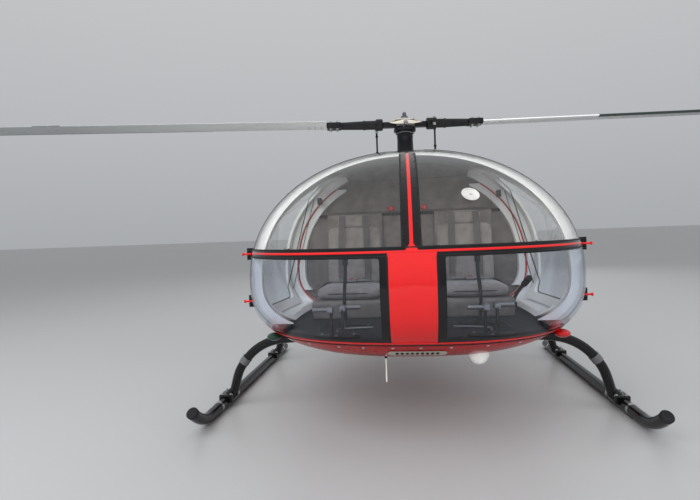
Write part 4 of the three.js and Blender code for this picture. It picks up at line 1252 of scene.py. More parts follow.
def gauges():
    """Six round gauges in two columns on the console's sloping face, with ticks but no lettering."""
    low, high = Vector((0, -1.210, 0.705)), Vector((0, -1.296, 0.905))
    along = (high - low).normalized()
    out = Vector((0, along.z, -along.y))
    bezels, faces, needles, marks = [], [], [], []
    for row in range(3):
        for column in (-1, 1):
            centre = low + along * (0.045 + row * 0.066) + Vector((column * 0.044, 0, 0)) + out * 0.0005
            bezels.append(aimed(centre, out))
            faces.append(aimed(centre + out * 0.0012, out))
            needles.append(aimed(centre + out * 0.0028, out) @ Matrix.Rotation(1.1 * row + column, 4, "Z"))
            dial = aimed(centre + out * 0.0026, out)
            marks += [dial @ Matrix.Rotation(k / 12 * math.tau, 4, "Z") for k in range(12)]
    ring = turned_shape([(0.0285, 0), (0.0310, 0.0), (0.0310, 0.005), (0.0285, 0.006), (0.0265, 0.004),
                         (0.0265, 0.001)], 32)
    needle = thin_plate([(-0.0012, -0.005), (0.0012, -0.005), (0.0005, 0.020), (-0.0005, 0.020)], 0.0006)
    tick = thin_plate([(-0.0007, 0.021), (0.0007, 0.021), (0.0007, 0.025), (-0.0007, 0.025)], 0.0003)
    add(stamped("gauge_bezels", ring, bezels), "alloy")
    add(stamped("gauge_faces", turned_shape(cylinder(0.0268, 0, 0.0012), 32), faces), "satin")
    add(stamped("gauge_needles", needle, needles), "white")
    add(stamped("gauge_ticks", tick, marks), "white")


def pedals():
    base, y = FLOOR_TOP, -1.190
    bar = [(0, 0), (0.011, 0)]
    for k in range(12):
        h = 0.004 + k * 0.007
        bar += [(0.011, h), (0.0098, h + 0.001), (0.0098, h + 0.003), (0.011, h + 0.004)]
    bar += [(0.011, 0.091), (0.009, 0.092), (0, 0.092)]
    post_z, head_z = (base + 0.011, base + 0.150), (base + 0.136, base + 0.164)
    nuts_at = ((-0.085, 0.012), (0.085, 0.012), (0, -0.028))
    for side, sign in SIDES:
        x = sign * SEAT_X
        oval = [(x + 0.120 * a, y + 0.045 * b) for a, b in circle(1, 56)]
        plate = bevelled(prism(f"pedal_plate_{side}", oval, "z", base, base + 0.012), 0.003)
        add(plate, "satin", replaces=[f"pedals_{side}"])
        nuts = [((x + a, y + b, base + 0.0118), UP) for a, b in nuts_at]
        hex_bolts(f"pedal_plate_bolt_{side}", nuts, size=0.6)
        posts, heads, bars = [], [], []
        for way, lead in ((-1, -0.035), (1, 0.035)):
            px = x + way * 0.030
            posts.append(soft_block("post", around(px, 0.007), around(y, 0.014), post_z, 0.002))
            reach = (min(y, y + lead) - 0.014, max(y, y + lead) + 0.014)
            heads.append(soft_block("head", (px - 0.014, px + 0.016), reach, head_z, 0.003))
            bars.append(turned("bar", bar, (px, y + lead, base + 0.150), (way, 0, 0), 24))
        add(merged(f"pedal_posts_{side}", posts), "satin")
        add(merged(f"pedal_heads_{side}", heads), "alloy")
        add(merged(f"pedal_bars_{side}", bars), "alloy")
        rod = [(x, y, base + 0.030), (x, y + 0.10, base + 0.022), (x * 0.55, y + 0.13, base + 0.022)]
        add(tube(f"pedal_rod_{side}", rod, 0.005, 10), "alloy")


def cyclic_stick(side, x, y, base):
    bellows = [(0, 0), (0.034, 0), (0.034, 0.004)]
    for k in range(5):
        bellows += [(0.031 - k * 0.004, 0.006 + k * 0.005), (0.026 - k * 0.004, 0.0085 + k * 0.005)]
    bellows += [(0.011, 0.034), (0, 0.034)]
    add(turned(f"cyclic_boot_{side}", bellows, (x, y, base)), "rubber")
    bends = ((0, 0.010), (-0.060, 0.150), (0.020, 0.300), (0.030, 0.400))
    stem = tube(f"cyclic_stem_{side}", [(x, y + dy, base + dz) for dy, dz in bends], 0.011, 16)
    add(stem, "satin", replaces=[f"cyclic_{side}"])
    grip = [(0, 0), (0.014, 0), (0.018, 0.008), (0.0165, 0.020), (0.0175, 0.030), (0.016, 0.042),
            (0.0175, 0.052), (0.0165, 0.064), (0.018, 0.076), (0.018, 0.092), (0.014, 0.101), (0, 0.102)]
    add(turned(f"cyclic_grip_{side}", grip, (x, y + 0.030, base + 0.350), (0, 0.08, 1), 24), "rubber")
    button = [(0, 0), (0.004, 0), (0.004, 0.004), (0, 0.005)]
    add(turned(f"cyclic_button_{side}", button, (x, y + 0.020, base + 0.430), (0, -1, 0.3), 16), "red")


def collective_lever(side, x, y, base):
    foot = soft_block(f"collective_foot_{side}", around(x, 0.022), around(y, 0.040), (base, base + 0.058),
                      0.005)
    add(foot, "satin", replaces=[f"collective_{side}"])
    bends = [(x, y + dy, base + dz) for dy, dz in ((0, 0.040), (-0.120, 0.120), (-0.330, 0.215))]
    add(tube(f"collective_stem_{side}", bends, 0.011, 16), "satin")
    twist = [(0, 0), (0.015, 0), (0.0185, 0.003)]
    for k in range(10):
        h = 0.008 + k * 0.011
        twist += [(0.0185, h), (0.0170, h + 0.002), (0.0170, h + 0.005), (0.0185, h + 0.007)]
    twist += [(0.0185, 0.124), (0.015, 0.134), (0, 0.135)]
    place = (x, y - 0.306, base + 0.204)
    add(turned(f"collective_grip_{side}", twist, place, (0, -0.924, 0.382), 24), "rubber")


def sticks():
    for side, sign in SIDES:
        cyclic_stick(side, sign * SEAT_X, -0.830, FLOOR_TOP)
        collective_lever(side, LEVER_X[side], -0.440, FLOOR_TOP)


# Engine cowl
COWL_END = 0.930
COWL_STATIONS = (
    # y, half width, top z, bottom z
    (CABIN_REAR_Y + SEAM, 0.882, 1.556, 0.352), (0.060, 0.836, 1.528, 0.358), (0.300, 0.668, 1.456, 0.420),
    (0.520, 0.430, 1.400, 0.590), (0.740, 0.240, 1.335, 0.850), (COWL_END, 0.125, 1.300, 1.075),
)
COWL_THICK = 0.012
VENT = {"y": (0.040, 0.250), "z": (0.760, 1.120), "slats": 5, "slat": 0.022}
MAST_HOUSING = 0.062


def cowl_sizes(y, depth):
    """Half width, top, bottom, middle height and section power of the cowl at a station."""
    table = np.array(COWL_STATIONS)
    index = np.arange(len(table))
    place = float(np.interp(y, table[:, 0], index))
    half, top, bottom = (float(np.interp(y, table[:, 0], table[:, k])) for k in (1, 2, 3))
    middle = (top + bottom) / 2 - 0.214 * (1 - place / (len(table) - 1))
    return half - depth, top - depth, bottom + depth, middle, 2.2 - 0.04 * place


def cowl_point(y, angle, depth=0.0):
    half, top, bottom, middle, power = cowl_sizes(y, depth)
    x, z = superellipse(angle, half, top - middle, middle - bottom, power, power)
    return (x, y, middle + z)


def cowl_solid(name, depth, stop=COWL_END):
    start, steps, sides = COWL_STATIONS[0][0], 56, 120
    rings = []
    for k in range(steps + 1):
        y = start + (stop - start) * k / steps
        rings.append([cowl_point(y, i / sides * math.tau, depth) for i in range(sides)])
    return loft(name, rings)


def louvre(sign, low, high):
    """One slat in a vent slot, from the slot's upper edge down and inwards."""
    blade = []
    for y in np.linspace(VENT["y"][0] + 0.004, VENT["y"][1] - 0.004, 12):
        edge = cowl_at_height(y, high - 0.004) - 0.004
        foot = cowl_at_height(y, low + 0.008) - 0.034
        section = [(edge, high - 0.003), (edge - 0.0015, high - 0.005), (foot, low + 0.006),
                   (foot + 0.0015, low + 0.008)]
        blade.append([(sign * x, y, z) for x, z in section])
    return loft("louvre", blade)


def cowl():
    shell = carve(cowl_solid("cowl_shell", 0), (CUT, cowl_solid("cowl_hollow", COWL_THICK, COWL_END - 0.025)))
    hole = turned("mast_hole", cylinder(MAST_HOUSING + 0.001, 1.2, 1.7), sides=48)
    carve(shell, (CUT, hole), (CUT, leg_tube("rear_tube_room", CROSS["rear"], SEAM)))
    front, rear = VENT["y"]
    pitch = (VENT["z"][1] - VENT["z"][0]) / VENT["slats"]
    louvres = []
    for _, sign in SIDES:
        for i in range(VENT["slats"]):
            low = VENT["z"][0] + i * pitch
            high = low + pitch - VENT["slat"]
            opening = rounded_outline([(front, low), (rear, low), (rear, high), (front, high)], 0, 0.012, 5)
            carve(shell, (CUT, prism("slot", opening, "x", *between(sign, 0.4, 1.2))))
            louvres.append(louvre(sign, low, high))
    upper = carve(copy_of(shell, "cowl_upper"), (KEEP, slab(RIM_Z + SEAM, FAR)))
    lower = carve(copy_of(shell, "cowl_lower"), (KEEP, slab(0, RIM_Z)))
    add(upper, "white", replaces=["engine_cowl"])
    # The cowl's lower part takes the same darker red, painted shade for the underside.
    add(lower, "belly_red")
    add(merged("cowl_louvres", louvres), "white")


def cowl_at_height(y, z, depth=0.0):
    """Half width of the cowl at a station and height."""
    half, top, bottom, middle, power = cowl_sizes(y, depth)
    reach = top - middle if z > middle else middle - bottom
    share = min(1.0, abs(z - middle) / reach)
    return half * (1 - share**power) ** (1 / power)


def cowl_ring(y, out=0.0006, count=160):
    return [cowl_point(y, i / count * math.tau, -out) for i in range(count)]


def cowl_side_line(sign, z, stop, out=0.0006):
    """A path along one side of the cowl at one height."""
    start, count = -0.12, 60
    path = []
    for k in range(count):
        y = start + (stop - start) * k / (count - 1)
        _, top, bottom, _, _ = cowl_sizes(y, 0)
        if bottom + 0.01 < z < top - 0.01:
            path.append((sign * (cowl_at_height(y, z) + out), y, z))
    return path


def on_cowl(y, angle):
    """A point of the cowl's skin and the direction straight out of it."""
    p = Vector(cowl_point(y, angle))
    about = Vector(cowl_point(y, angle + 0.01)) - p
    back = Vector(cowl_point(y + 0.004, angle)) - p
    n = about.cross(back).normalized()
    return p, n if n.dot(p - Vector((0, y, 0.95))) > 0 else -n


def catches_and_cap(side, sign):
    """Two catches and a filler cap on one side of the cowl."""
    for number, z in enumerate((0.86, 1.10)):
        x, y = cowl_at_height(0.36, z), 0.36
        catch = soft_block(f"cowl_catch_{side}_{number}", between(sign, x - 0.003, x + 0.005),
                           around(y, 0.022), around(z, 0.009), 0.003)
        add(catch, "alloy")
    cap = [(0, 0), (0.040, 0), (0.040, 0.006), (0.034, 0.010), (0, 0.011)]
    y, z = 0.12, 1.32
    place = (sign * (cowl_at_height(y, z) - 0.006), y, z)
    add(turned(f"filler_cap_{side}", cap, place, (sign * 0.75, 0.1, 0.62), 40), "alloy")


def exhaust():
    place, along = (-0.30, 0.420, 0.545), (0, 0.55, -0.83)
    pipe = [(0, 0), (0.031, 0), (0.031, 0.110), (0.028, 0.110), (0.028, 0.010), (0, 0.010)]
    shield = [(0.052, 0.0), (0.055, 0.001), (0.047, 0.045), (0.044, 0.044)]
    add(turned("exhaust_pipe", pipe, place, along, 36), "burnt")
    add(turned("exhaust_shield", shield, place, along, 36), "steel")


def beacon():
    y = 0.42
    _, top, _, _, _ = cowl_sizes(y, 0)
    glass = [(0.024 * math.cos(a), 0.026 + 0.022 * math.sin(a)) for a in (0.3, 0.6, 0.9, 1.2)]
    profile = [(0, 0), (0.030, 0), (0.030, 0.008), (0.024, 0.010), (0.024, 0.026), *glass, (0, 0.048)]
    add(turned("beacon_lamp", profile, (0, y, top - 0.003)), "lens_red")


def cowl_details():
    seams, rivets = [], []
    for y in (-0.118, 0.300, 0.520):
        seams.append(tube("seam", cowl_ring(y), 0.0018, 6, 1, loop=True))
        turns = [i / 40 * math.tau for i in range(40)]
        rivets += [on_cowl(y + shift, angle) for angle in turns for shift in (-0.014, 0.014)]
    for _, sign in SIDES:
        seams.append(tube("seam", cowl_side_line(sign, RIM_Z, 0.40), 0.0040, 8, 1))
        seams.append(tube("seam", cowl_side_line(sign, 1.200, 0.88), 0.0018, 6, 1))
    add(merged("cowl_seams", seams), "rubber")
    screws("cowl_rivet", rivets, "alloy", shape=RIVET)
    left, right = SIDES
    catches_and_cap(*left)
    exhaust()
    catches_and_cap(*right)
    beacon()


# Mast, hub and blades
HUB_Z = middle_of("blade_grip_1").z
SHAFT_RADIUS = 0.0298
HOUSING_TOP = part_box("mast_housing")[1][2]
CAP_Z = HOUSING_TOP + 0.016
SWASH_LOW, SWASH_HIGH = (corner[2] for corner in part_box("swashplate"))
HORN = Vector((0.211, -0.106))


def mast():
    flange, top = 1.582, HOUSING_TOP
    profile = [(0, 1.300), (0.062, 1.300), (0.062, flange), (0.078, flange), (0.078, flange + 0.030),
               (0.076, flange + 0.032), (0.064, flange + 0.034), (0.060, top - 0.030), (0.062, top - 0.026),
               (0.062, top - 0.002), (0.060, top), (0.0306, top), (0.0306, 1.42), (0, 1.42)]
    add(turned("mast_housing_tube", profile, sides=64), "black", replaces=["mast_housing"])
    hex_bolts("mast_flange_bolt", [((x, y, flange + 0.031), UP) for x, y in circle(0.070, 8)], size=0.62)
    boot = [(0.064, 1.520)]
    for k in range(4):
        boot += [(0.090 - k * 0.006, 1.530 + k * 0.012), (0.076 - k * 0.004, 1.537 + k * 0.012)]
    boot += [(0.064, 1.582), (0.062, 1.582), (0.062, 1.520), (0.064, 1.520)]
    add(turned("mast_boot", boot, sides=48), "rubber")


def mast_cap(z):
    """Two stacked discs round the shaft, above the mast's housing."""
    inner = SHAFT_RADIUS
    lower = [(inner, z - 0.014), (0.066, z - 0.014), (0.070, z - 0.011), (0.070, z - 0.003), (0.067, z),
             (0.056, z), (0.056, z + 0.006), (inner, z + 0.006)]
    upper = [(inner, z + 0.006), (0.082, z + 0.006), (0.084, z + 0.008), (0.084, z + 0.027),
             (0.081, z + 0.030), (0.046, z + 0.030), (0.040, z + 0.036), (inner, z + 0.036)]
    add(turned("mast_cap_lower", lower, sides=56), "steel", ROTOR)
    add(turned("mast_cap_upper", upper, sides=56), "satin", ROTOR)
    heads = [((x, y, z + 0.029), UP) for x, y in circle(0.072, 6, 0.3)]
    hex_bolts("mast_cap_bolt", heads, "alloy", ROTOR, 0.5)


def teeter(z):
    """The rocking bar between the blade grips, with its block, cheeks, plate and pin."""
    core = soft_block("teeter_block", (-0.070, 0.070), (-0.058, 0.058), around(z, 0.026), 0.006)
    bar = soft_block("teeter_bar", (-0.170, 0.170), (-0.026, 0.026), (z - 0.024, z + 0.016), 0.005)
    add(bar, "satin", ROTOR, name="teeter_bar")
    add(core, "steel", ROTOR, name="teeter_core")
    outline = [(-0.128, z), (-0.020, z + 0.020), (0.020, z + 0.020), (0.128, z), (0.070, z - 0.010),
               (-0.070, z - 0.010)]
    cheek = rounded_outline(outline, 0, 0.006, 5)
    plates = [prism("cheek", cheek, "y", *between(sign, 0.0585, 0.0655)) for sign in (1, -1)]
    add(merged("hub_cheeks", [bevelled(plate, 0.0015, 2) for plate in plates]), "cream", ROTOR)
    oval = [(0.100 * a, 0.046 * b) for a, b in circle(1, 8)]
    add(bevelled(prism("hub_plate", oval, "z", z + 0.0255, z + 0.034), 0.002), "cream", ROTOR)
    heads = [((x, y, z + 0.0338), UP) for x in (-0.070, 0.070) for y in (-0.014, 0.014)]
    hex_bolts("hub_plate_bolt", heads, "alloy", ROTOR, 0.62)
    pin = turned("teeter_pin", cylinder(0.016, -0.074, 0.074), (0, 0, z), (0, 1, 0))
    add(pin, "steel", ROTOR)
    hex_bolts("teeter_nut", [((0, sign * 0.073, z), (0, sign, 0)) for sign in (1, -1)], "alloy", ROTOR)


def hub():
    top = 1.910
    shaft = [(0, 1.405), (SHAFT_RADIUS, 1.405), (SHAFT_RADIUS, top - 0.003), (0.027, top), (0, top)]
    add(turned("mast_shaft", shaft, sides=48), "alloy", ROTOR, ["rotor_mast_and_hub"])
    mast_cap(CAP_Z)
    teeter(HUB_Z)
    stud = [(0, top - 0.001), (0.026, top - 0.001), (0.026, top + 0.010), (0.015, top + 0.012),
            (0.015, top + 0.034), (0.011, top + 0.040), (0, top + 0.040)]
    add(turned("mast_stud", stud), "steel", ROTOR)


def ring_of(name, profile):
    """A closed ring round the mast, from its section in radius and height."""
    return loft(name, [[(r * a, r * b, z) for r, z in profile] for a, b in circle(1, 96)], loop=True)


def swashplate():
    """The ring below the hub, with an arm out to each pitch link."""
    low, high = SWASH_LOW, SWASH_HIGH
    ring = [(0.0865, low), (0.115, low), (0.118, low + 0.003), (0.118, high - 0.003), (0.115, high),
            (0.0865, high)]
    add(ring_of("swashplate_ring", ring), "alloy", ROTOR, ["swashplate"])
    outline = [(0, -0.024), (HORN.x + 0.012, HORN.y - 0.024), (HORN.x + 0.024, HORN.y + 0.006),
               (0.040, 0.040)]
    arm = prism("arm", rounded_outline(outline, 0, 0.012, 5), "z", low + 0.0005, high - 0.0005)
    carve(arm, (CUT, turned("arm_room", cylinder(0.112, low - 0.01, high + 0.01))))
    bevelled(arm, 0.002, 2)
    add(merged("swashplate_arms", [arm, half_turn(arm)]), "steel", ROTOR)
    race = [(0.098, high), (0.112, high), (0.112, high + 0.005), (0.109, high + 0.008), (0.101, high + 0.008),
            (0.098, high + 0.005)]
    add(ring_of("swashplate_race", race), "satin", ROTOR)
    heads = [((x, y, high - 0.001), UP) for x, y in circle(0.092, 12)]
    screws("swashplate_screw", heads, "steel", ROTOR, 0.5)


def half_turn(obj):
    """The second of two equal rotor pieces, turned half a turn about the mast."""
    twin = copy_of(obj, obj.name.replace("_1", "_2"))
    twin.data.transform(Matrix.Rotation(math.pi, 4, "Z"))
    return twin


def both(obj, finish, replaces=None):
    """Adds the first blade's piece and its twin for the second blade."""
    for number, piece in enumerate((obj, half_turn(obj)), 1):
        add(piece, finish, ROTOR, [f"{replaces}_{number}"] if replaces else ())


def on_both_blades(kind, name, places):
    """Screws or bolts on the first blade, and the same half a turn further on the second."""
    for order, turn in (("first", 1), ("second", -1)):
        moved = [((turn * p[0], turn * p[1], p[2]), (turn * n[0], turn * n[1], n[2])) for p, n in places]
        kind(f"{name}_{order}", moved, "alloy", ROTOR, 0.9)


def pitch_links():
    low, high = Vector((HORN.x, HORN.y, SWASH_HIGH + 0.013)), Vector((HORN.x, HORN.y, HUB_Z - 0.0273))
    end = (high - low).length
    rod = [(0, 0.004), (0.0075, 0.006), (0.0075, 0.030), (0.0105, 0.031), (0.0105, 0.042), (0.0065, 0.044),
           (0.0065, end - 0.046), (0.0105, end - 0.044), (0.0105, end - 0.033), (0.0075, end - 0.032),
           (0.0075, end - 0.008), (0, end - 0.007)]
    both(turned("pitch_link_rod_1", rod, low, high - low, 24), "satin", "pitch_link")
    balls = [turned("ball", ball(0.013, 1.2, 9), place, sides=24) for place in (low, high)]
    both(merged("pitch_link_balls_1", balls), "alloy")
    bolt = [(0, -0.030), (0.006, -0.030), (0.006, 0.020), (0.010, 0.020), (0.010, 0.026), (0, 0.026)]
    both(turned("horn_bolt_1", bolt, (HORN.x, HORN.y, HUB_Z), sides=16), "alloy")


def grips():
    z = HUB_Z
    sleeve = [(0, 0.1705), (0.040, 0.1705), (0.044, 0.175), (0.044, 0.218), (0.040, 0.222),
              (0.034, 0.226), (0.0335, 0.300), (0.036, 0.304), (0.036, 0.318), (0.0325, 0.322),
              (0.028, 0.480), (0.026, 0.512), (0, 0.512)]
    both(turned("blade_grip_sleeve_1", sleeve, (0, 0, z), (1, 0, 0), 40), "satin", "blade_grip")
    both(soft_block("blade_fork_1", (0.490, 0.5994), (-0.048, 0.048), around(z, 0.022), 0.006), "satin")
    both(soft_block("pitch_horn_1", (0.196, 0.226), (-0.120, 0.0), around(z, 0.014), 0.004), "satin")
    spots = [(x, y) for x in (0.520, 0.570) for y in (-0.026, 0.026)]
    nuts = [((x, y, z + up * 0.0215), (0, 0, up)) for up in (1, -1) for x, y in spots]
    on_both_blades(hex_bolts, "fork_bolt", nuts)
    pitch_links()


BLADE = {"root": 0.600, "chord": 0.190, "thick": 0.024, "lead": 0.3, "pitch": 3.0, "cone": 0.8}
ROTOR_RADIUS = 3.800


def airfoil(chord, thick, lead, count=22):
    """A symmetric wing section. Its zero lies behind the leading edge by the lead, a share of the chord."""
    upper = []
    for i in range(count + 1):
        u = 0.5 - 0.5 * math.cos(i / count * math.pi)
        share = 0.2969 * math.sqrt(u) - 0.126 * u - 0.3516 * u**2 + 0.2843 * u**3 - 0.1036 * u**4
        upper.append(((u - lead) * chord, max(5 * thick * share, 0.0006)))
    return upper + [(a, -b) for a, b in reversed(upper)]


def wing(name, low, high, section, tip=0.0):
    """A length of blade along +X, leading edge towards -Y, with its last bit rounded off to the tip."""
    square = high - tip
    stations = [low, square]
    if tip:
        stations += [square + tip * math.sin(k / 6 * math.pi / 2) for k in range(1, 7)]
    rings = []
    for x in stations:
        ahead = max(0.0, (x - square) / tip) if tip else 0.0
        shrink = math.sqrt(max(0.02, 1 - ahead**2))
        rings.append([(x, a * (0.55 + 0.45 * shrink), b * shrink) for a, b in section])
    return loft(name, rings)


def main_blades():
    start, chord, thick, lead = (BLADE[key] for key in ("root", "chord", "thick", "lead"))
    pitch = Matrix.Rotation(math.radians(BLADE["pitch"]), 4, "X")
    cone = Matrix.Rotation(-math.radians(BLADE["cone"]), 4, "Y")
    place = Matrix.Translation((start, 0, HUB_Z)) @ cone @ Matrix.Translation((-start, 0, 0)) @ pitch
    section = airfoil(chord, thick, lead)
    nose = [(a, b) for a, b in section if a < (0.13 - lead) * chord]
    around_nose = [(a - 0.0006, b - 0.0005) for a, b in nose if b < 0]
    around_nose += [(a - 0.0006, b + 0.0005) for a, b in nose if b > 0]
    wide_root = airfoil(chord * 0.92, thick + 0.003, lead)
    trailing = (1 - lead) * chord
    root = wing("main_blade_root_1", start, PAINT_BREAK, section)
    outer_part = wing("main_blade_outer_1", PAINT_BREAK, ROTOR_RADIUS, section, 0.040)
    strip = wing("blade_edge_strip_1", PAINT_BREAK + 0.01, ROTOR_RADIUS - 0.045, around_nose)
    doubler = wing("blade_root_doubler_1", start + 0.001, 0.760, wide_root)
    tab = soft_block("blade_trim_tab_1", (2.55, 2.75), (trailing - 0.002, trailing + 0.022),
                     (-0.0007, 0.0007), 0.0003, 1)
    for obj, finish, stands_for in ((root, "blade_white", "main_blade"), (outer_part, "blade_grey", None),
                                    (strip, "edge_steel", None), (doubler, "blade_white", None),
                                    (tab, "blade_grey", None)):
        obj.data.transform(place)
        both(obj, finish, stands_for)
    heads = []
    for x in (0.640, 0.690, 0.735):
        for y in (-0.030, 0.000, 0.030):
            for up in (1, -1):
                heads.append((place @ Vector((x, y, up * 0.0128)), pitch @ Vector((0, 0, up))))
    on_both_blades(screws, "root_screw", heads)


# Tail boom, fins and tail rotor
BOOM = {"start_y": 0.900, "end_y": 4.300, "start_z": 1.190, "end_z": 1.290, "start_r": 0.092, "end_r": 0.058}
TAIL = {"y": 4.420, "z": 1.330, "x": 0.190, "radius": 0.520, "chord": 0.095, "thick": 0.013}


def boom_at(y):
    share = (y - BOOM["start_y"]) / (BOOM["end_y"] - BOOM["start_y"])
    z = BOOM["start_z"] + (BOOM["end_z"] - BOOM["start_z"]) * share
    return z, BOOM["start_r"] + (BOOM["end_r"] - BOOM["start_r"]) * share


def boom_ring(y, grow=0.0, sides=64):
    z, radius = boom_at(y)
    return [(a, y, z + b) for a, b in circle(radius + grow, sides)]


def boom_room():
    """The boom with a hair of room round it, to cut from what stands on it."""
    return loft("boom_room", [boom_ring(y, 0.0005) for y in (3.0, BOOM["end_y"])])


def boom_band(name, y, width, rise):
    """A closed ring on the boom."""
    edges = ((y, -0.002), (y, rise), (y + width, rise), (y + width, -0.002))
    return loft(name, [boom_ring(station, grow) for station, grow in edges])


def tail_boom():
    skin = loft("tail_boom_skin", [boom_ring(y) for y in np.linspace(COWL_END + SEAM, BOOM["end_y"], 20)])
    add(skin, "white", replaces=["tail_boom"])
    bands, rivets = [], []
    for y in (0.975, 1.90, 2.95, 3.98, 4.250):
        bands.append(boom_band("band", y, 0.034, 0.0012))
        for row in (y + 0.008, y + 0.026):
            z, radius = boom_at(row)
            rivets += [((a, row, z + b), (a, 0, b)) for a, b in circle(radius + 0.0012, 28)]
    for k in range(96):
        y = 1.02 + k * 0.0245
        z, radius = boom_at(y)
        rivets.append(((0, y, z - radius), (0, 0, -1)))
    add(merged("boom_bands", bands), "white")
    screws("boom_rivet", rivets, "alloy", shape=RIVET)
    seal = ((0.0006, 0.001), (0.0006, 0.008), (0.014, 0.006), (0.018, 0.001))
    add(loft("cowl_boom_seal", [boom_ring(COWL_END + back, grow) for back, grow in seal]), "rubber")
    for y, width in ((1.10, 0.06), (1.35, 0.15)):
        add(boom_band(f"red_band_{int(y * 100)}", y, width, 0.0008), "red")


def fin(name, outline, half, corner=0.030):
    """A flat surface with a rounded rim, from its outline in y and z."""
    full, inner = rounded_outline(outline, 0, corner, 8), rounded_outline(outline, 0.016, corner, 8)
    layers = ((-half, inner), (-half * 0.25, full), (half * 0.25, full), (half, inner))
    return loft(name, [[(x, y, z) for y, z in shape] for x, shape in layers])


def fins():
    y = 4.120
    z, _ = boom_at(y)
    clear = boom_room()
    upper = [(y - 0.060, z + 0.050), (y + 0.230, z + 0.050), (y + 0.400, 1.880), (y + 0.220, 1.880)]
    lower = [(y - 0.020, z - 0.050), (y + 0.170, z - 0.050), (y + 0.250, 0.900), (y + 0.110, 0.900)]
    tip = [(y + 0.170, 1.780), (y + 0.372, 1.780), (y + 0.400, 1.8803), (y + 0.220, 1.8803)]
    add(carve(fin("fin_upper_skin", upper, 0.012), (CUT, clear)), "red", replaces=["fin_upper"])
    add(carve(fin("fin_lower_skin", lower, 0.012), (CUT, clear)), "white", replaces=["fin_lower"])
    add(fin("fin_upper_tip", tip, 0.0132, 0.012), "white")
    rivets = []
    for share in np.linspace(0.06, 0.94, 14):
        for outline in (upper, lower):
            front_root, rear_root, rear_tip, front_tip = (Vector(corner) for corner in outline)
            lead = front_root + (front_tip - front_root) * share
            trail = rear_root + (rear_tip - rear_root) * share
            for place in (lead + (trail - lead) * 0.22, lead + (trail - lead) * 0.78):
                rivets += [((sign * 0.012, place.x, place.y), (sign, 0, 0)) for sign in (1, -1)]
    screws("fin_rivet", rivets, "alloy", shape=RIVET)
    strobe = [(0, 0), (0.014, 0), (0.014, 0.010), (0.011, 0.020), (0, 0.024)]
    add(turned("tail_lamp", strobe, (0, 4.436, 1.790), (0, 1, 0.15), 24), "lens_white")


def stabiliser():
    half, front, rear = 0.420, 3.440, 3.630
    section = airfoil(0.230, 0.022, 0.5, 18)
    ends = [(half, 0.25), (half - 0.004, 0.7), (half - 0.014, 1.0)]
    stations = [(-x, shrink) for x, shrink in ends] + ends[::-1]
    rings = [[(x, 3.535 + a, 1.273 + b * shrink) for a, b in section] for x, shrink in stations]
    plane = loft("stabiliser_skin", rings)
    front_z, rear_z = boom_at(front)[0], boom_at(rear)[0]
    hoops_at = ((front, front_z, 0.071), (front + 0.004, front_z, 0.076), (rear - 0.004, rear_z, 0.076),
                (rear, rear_z, 0.071))
    collar = loft("stabiliser_collar", [[(a, y, z + b) for a, b in circle(r, 56)] for y, z, r in hoops_at])
    clear = boom_room()
    add(carve(plane, (CUT, clear)), "white", replaces=["stabiliser"])
    add(carve(collar, (CUT, clear)), "white")
    outline = [(3.425, 1.262), (3.645, 1.262), (3.645, 1.284), (3.425, 1.284)]
    for sign in (1, -1):
        plate = prism(f"stabiliser_tip_{sign}", outline, "x", *between(sign, 0.4135, 0.4205))
        add(bevelled(plate, 0.003), "red")
    heads = []
    for y in (3.460, 3.610):
        for angle in (0.7, 2.44, -0.7, -2.44):
            c, s = math.cos(angle), math.sin(angle)
            heads.append(((0.076 * c, y, boom_at(y)[0] + 0.076 * s), (c, 0, s)))
    screws("stabiliser_screw", heads, "alloy", size=0.8)


def tail_gearbox():
    y, z = TAIL["y"], TAIL["z"]
    back, stop = Vector((0, 4.3025, 1.2901)), Vector((0, y + 0.040, z))
    end = (stop - back).length
    barrel = [(0, 0), (0.058, 0), (0.058, 0.010), (0.046, 0.014), (0.044, 0.050), (0.050, 0.070),
              (0.050, end - 0.012), (0.042, end), (0, end)]
    add(turned("tail_gearbox_case", barrel, back, stop - back, 48), "alloy", replaces=["tail_gearbox"])
    neck = [(0, 0), (0.044, 0.0), (0.044, 0.050), (0.038, 0.056), (0.038, 0.112), (0.034, 0.120),
            (0.0130, 0.120), (0.0130, 0.060), (0, 0.060)]
    add(turned("tail_gearbox_neck", neck, (0, y, z), (1, 0, 0), 40), "alloy")
    along = (stop - back).normalized()
    heads = [(back + Vector((a, 0, b)) + along * 0.010, along) for a, b in circle(0.051, 6)]
    hex_bolts("tail_gearbox_bolt", heads, "steel", size=0.5)
    glass = [(0, 0), (0.012, 0), (0.012, 0.004), (0.009, 0.005), (0, 0.005)]
    add(turned("sight_glass", glass, (0, y + 0.0395, z), (0, 1, 0.1), 24), "lens_red")


def tail_guard():
    points = [(0, 3.990, 1.226), (0, 4.200, 1.000), (0, 4.480, 0.770), (0, 4.800, 0.700), (0, 5.000, 0.760)]
    add(tube("tail_guard_tube", points, 0.014, 18, 12), "black", replaces=["tail_guard"])
    tip = [(0, -0.004), (0.013, -0.004), (0.015, 0.0), (0.015, 0.006), (0, 0.008)]
    add(turned("guard_tip", tip, (0, 4.9955, 0.7575), (0, 0.92, 0.38), 24), "rubber")
    sleeve = [(0, 4.560, 0.7395), (0, 4.680, 0.7145), (0, 4.790, 0.7010)]
    add(tube("guard_red_sleeve", sleeve, 0.0150, 20, 8), "red")


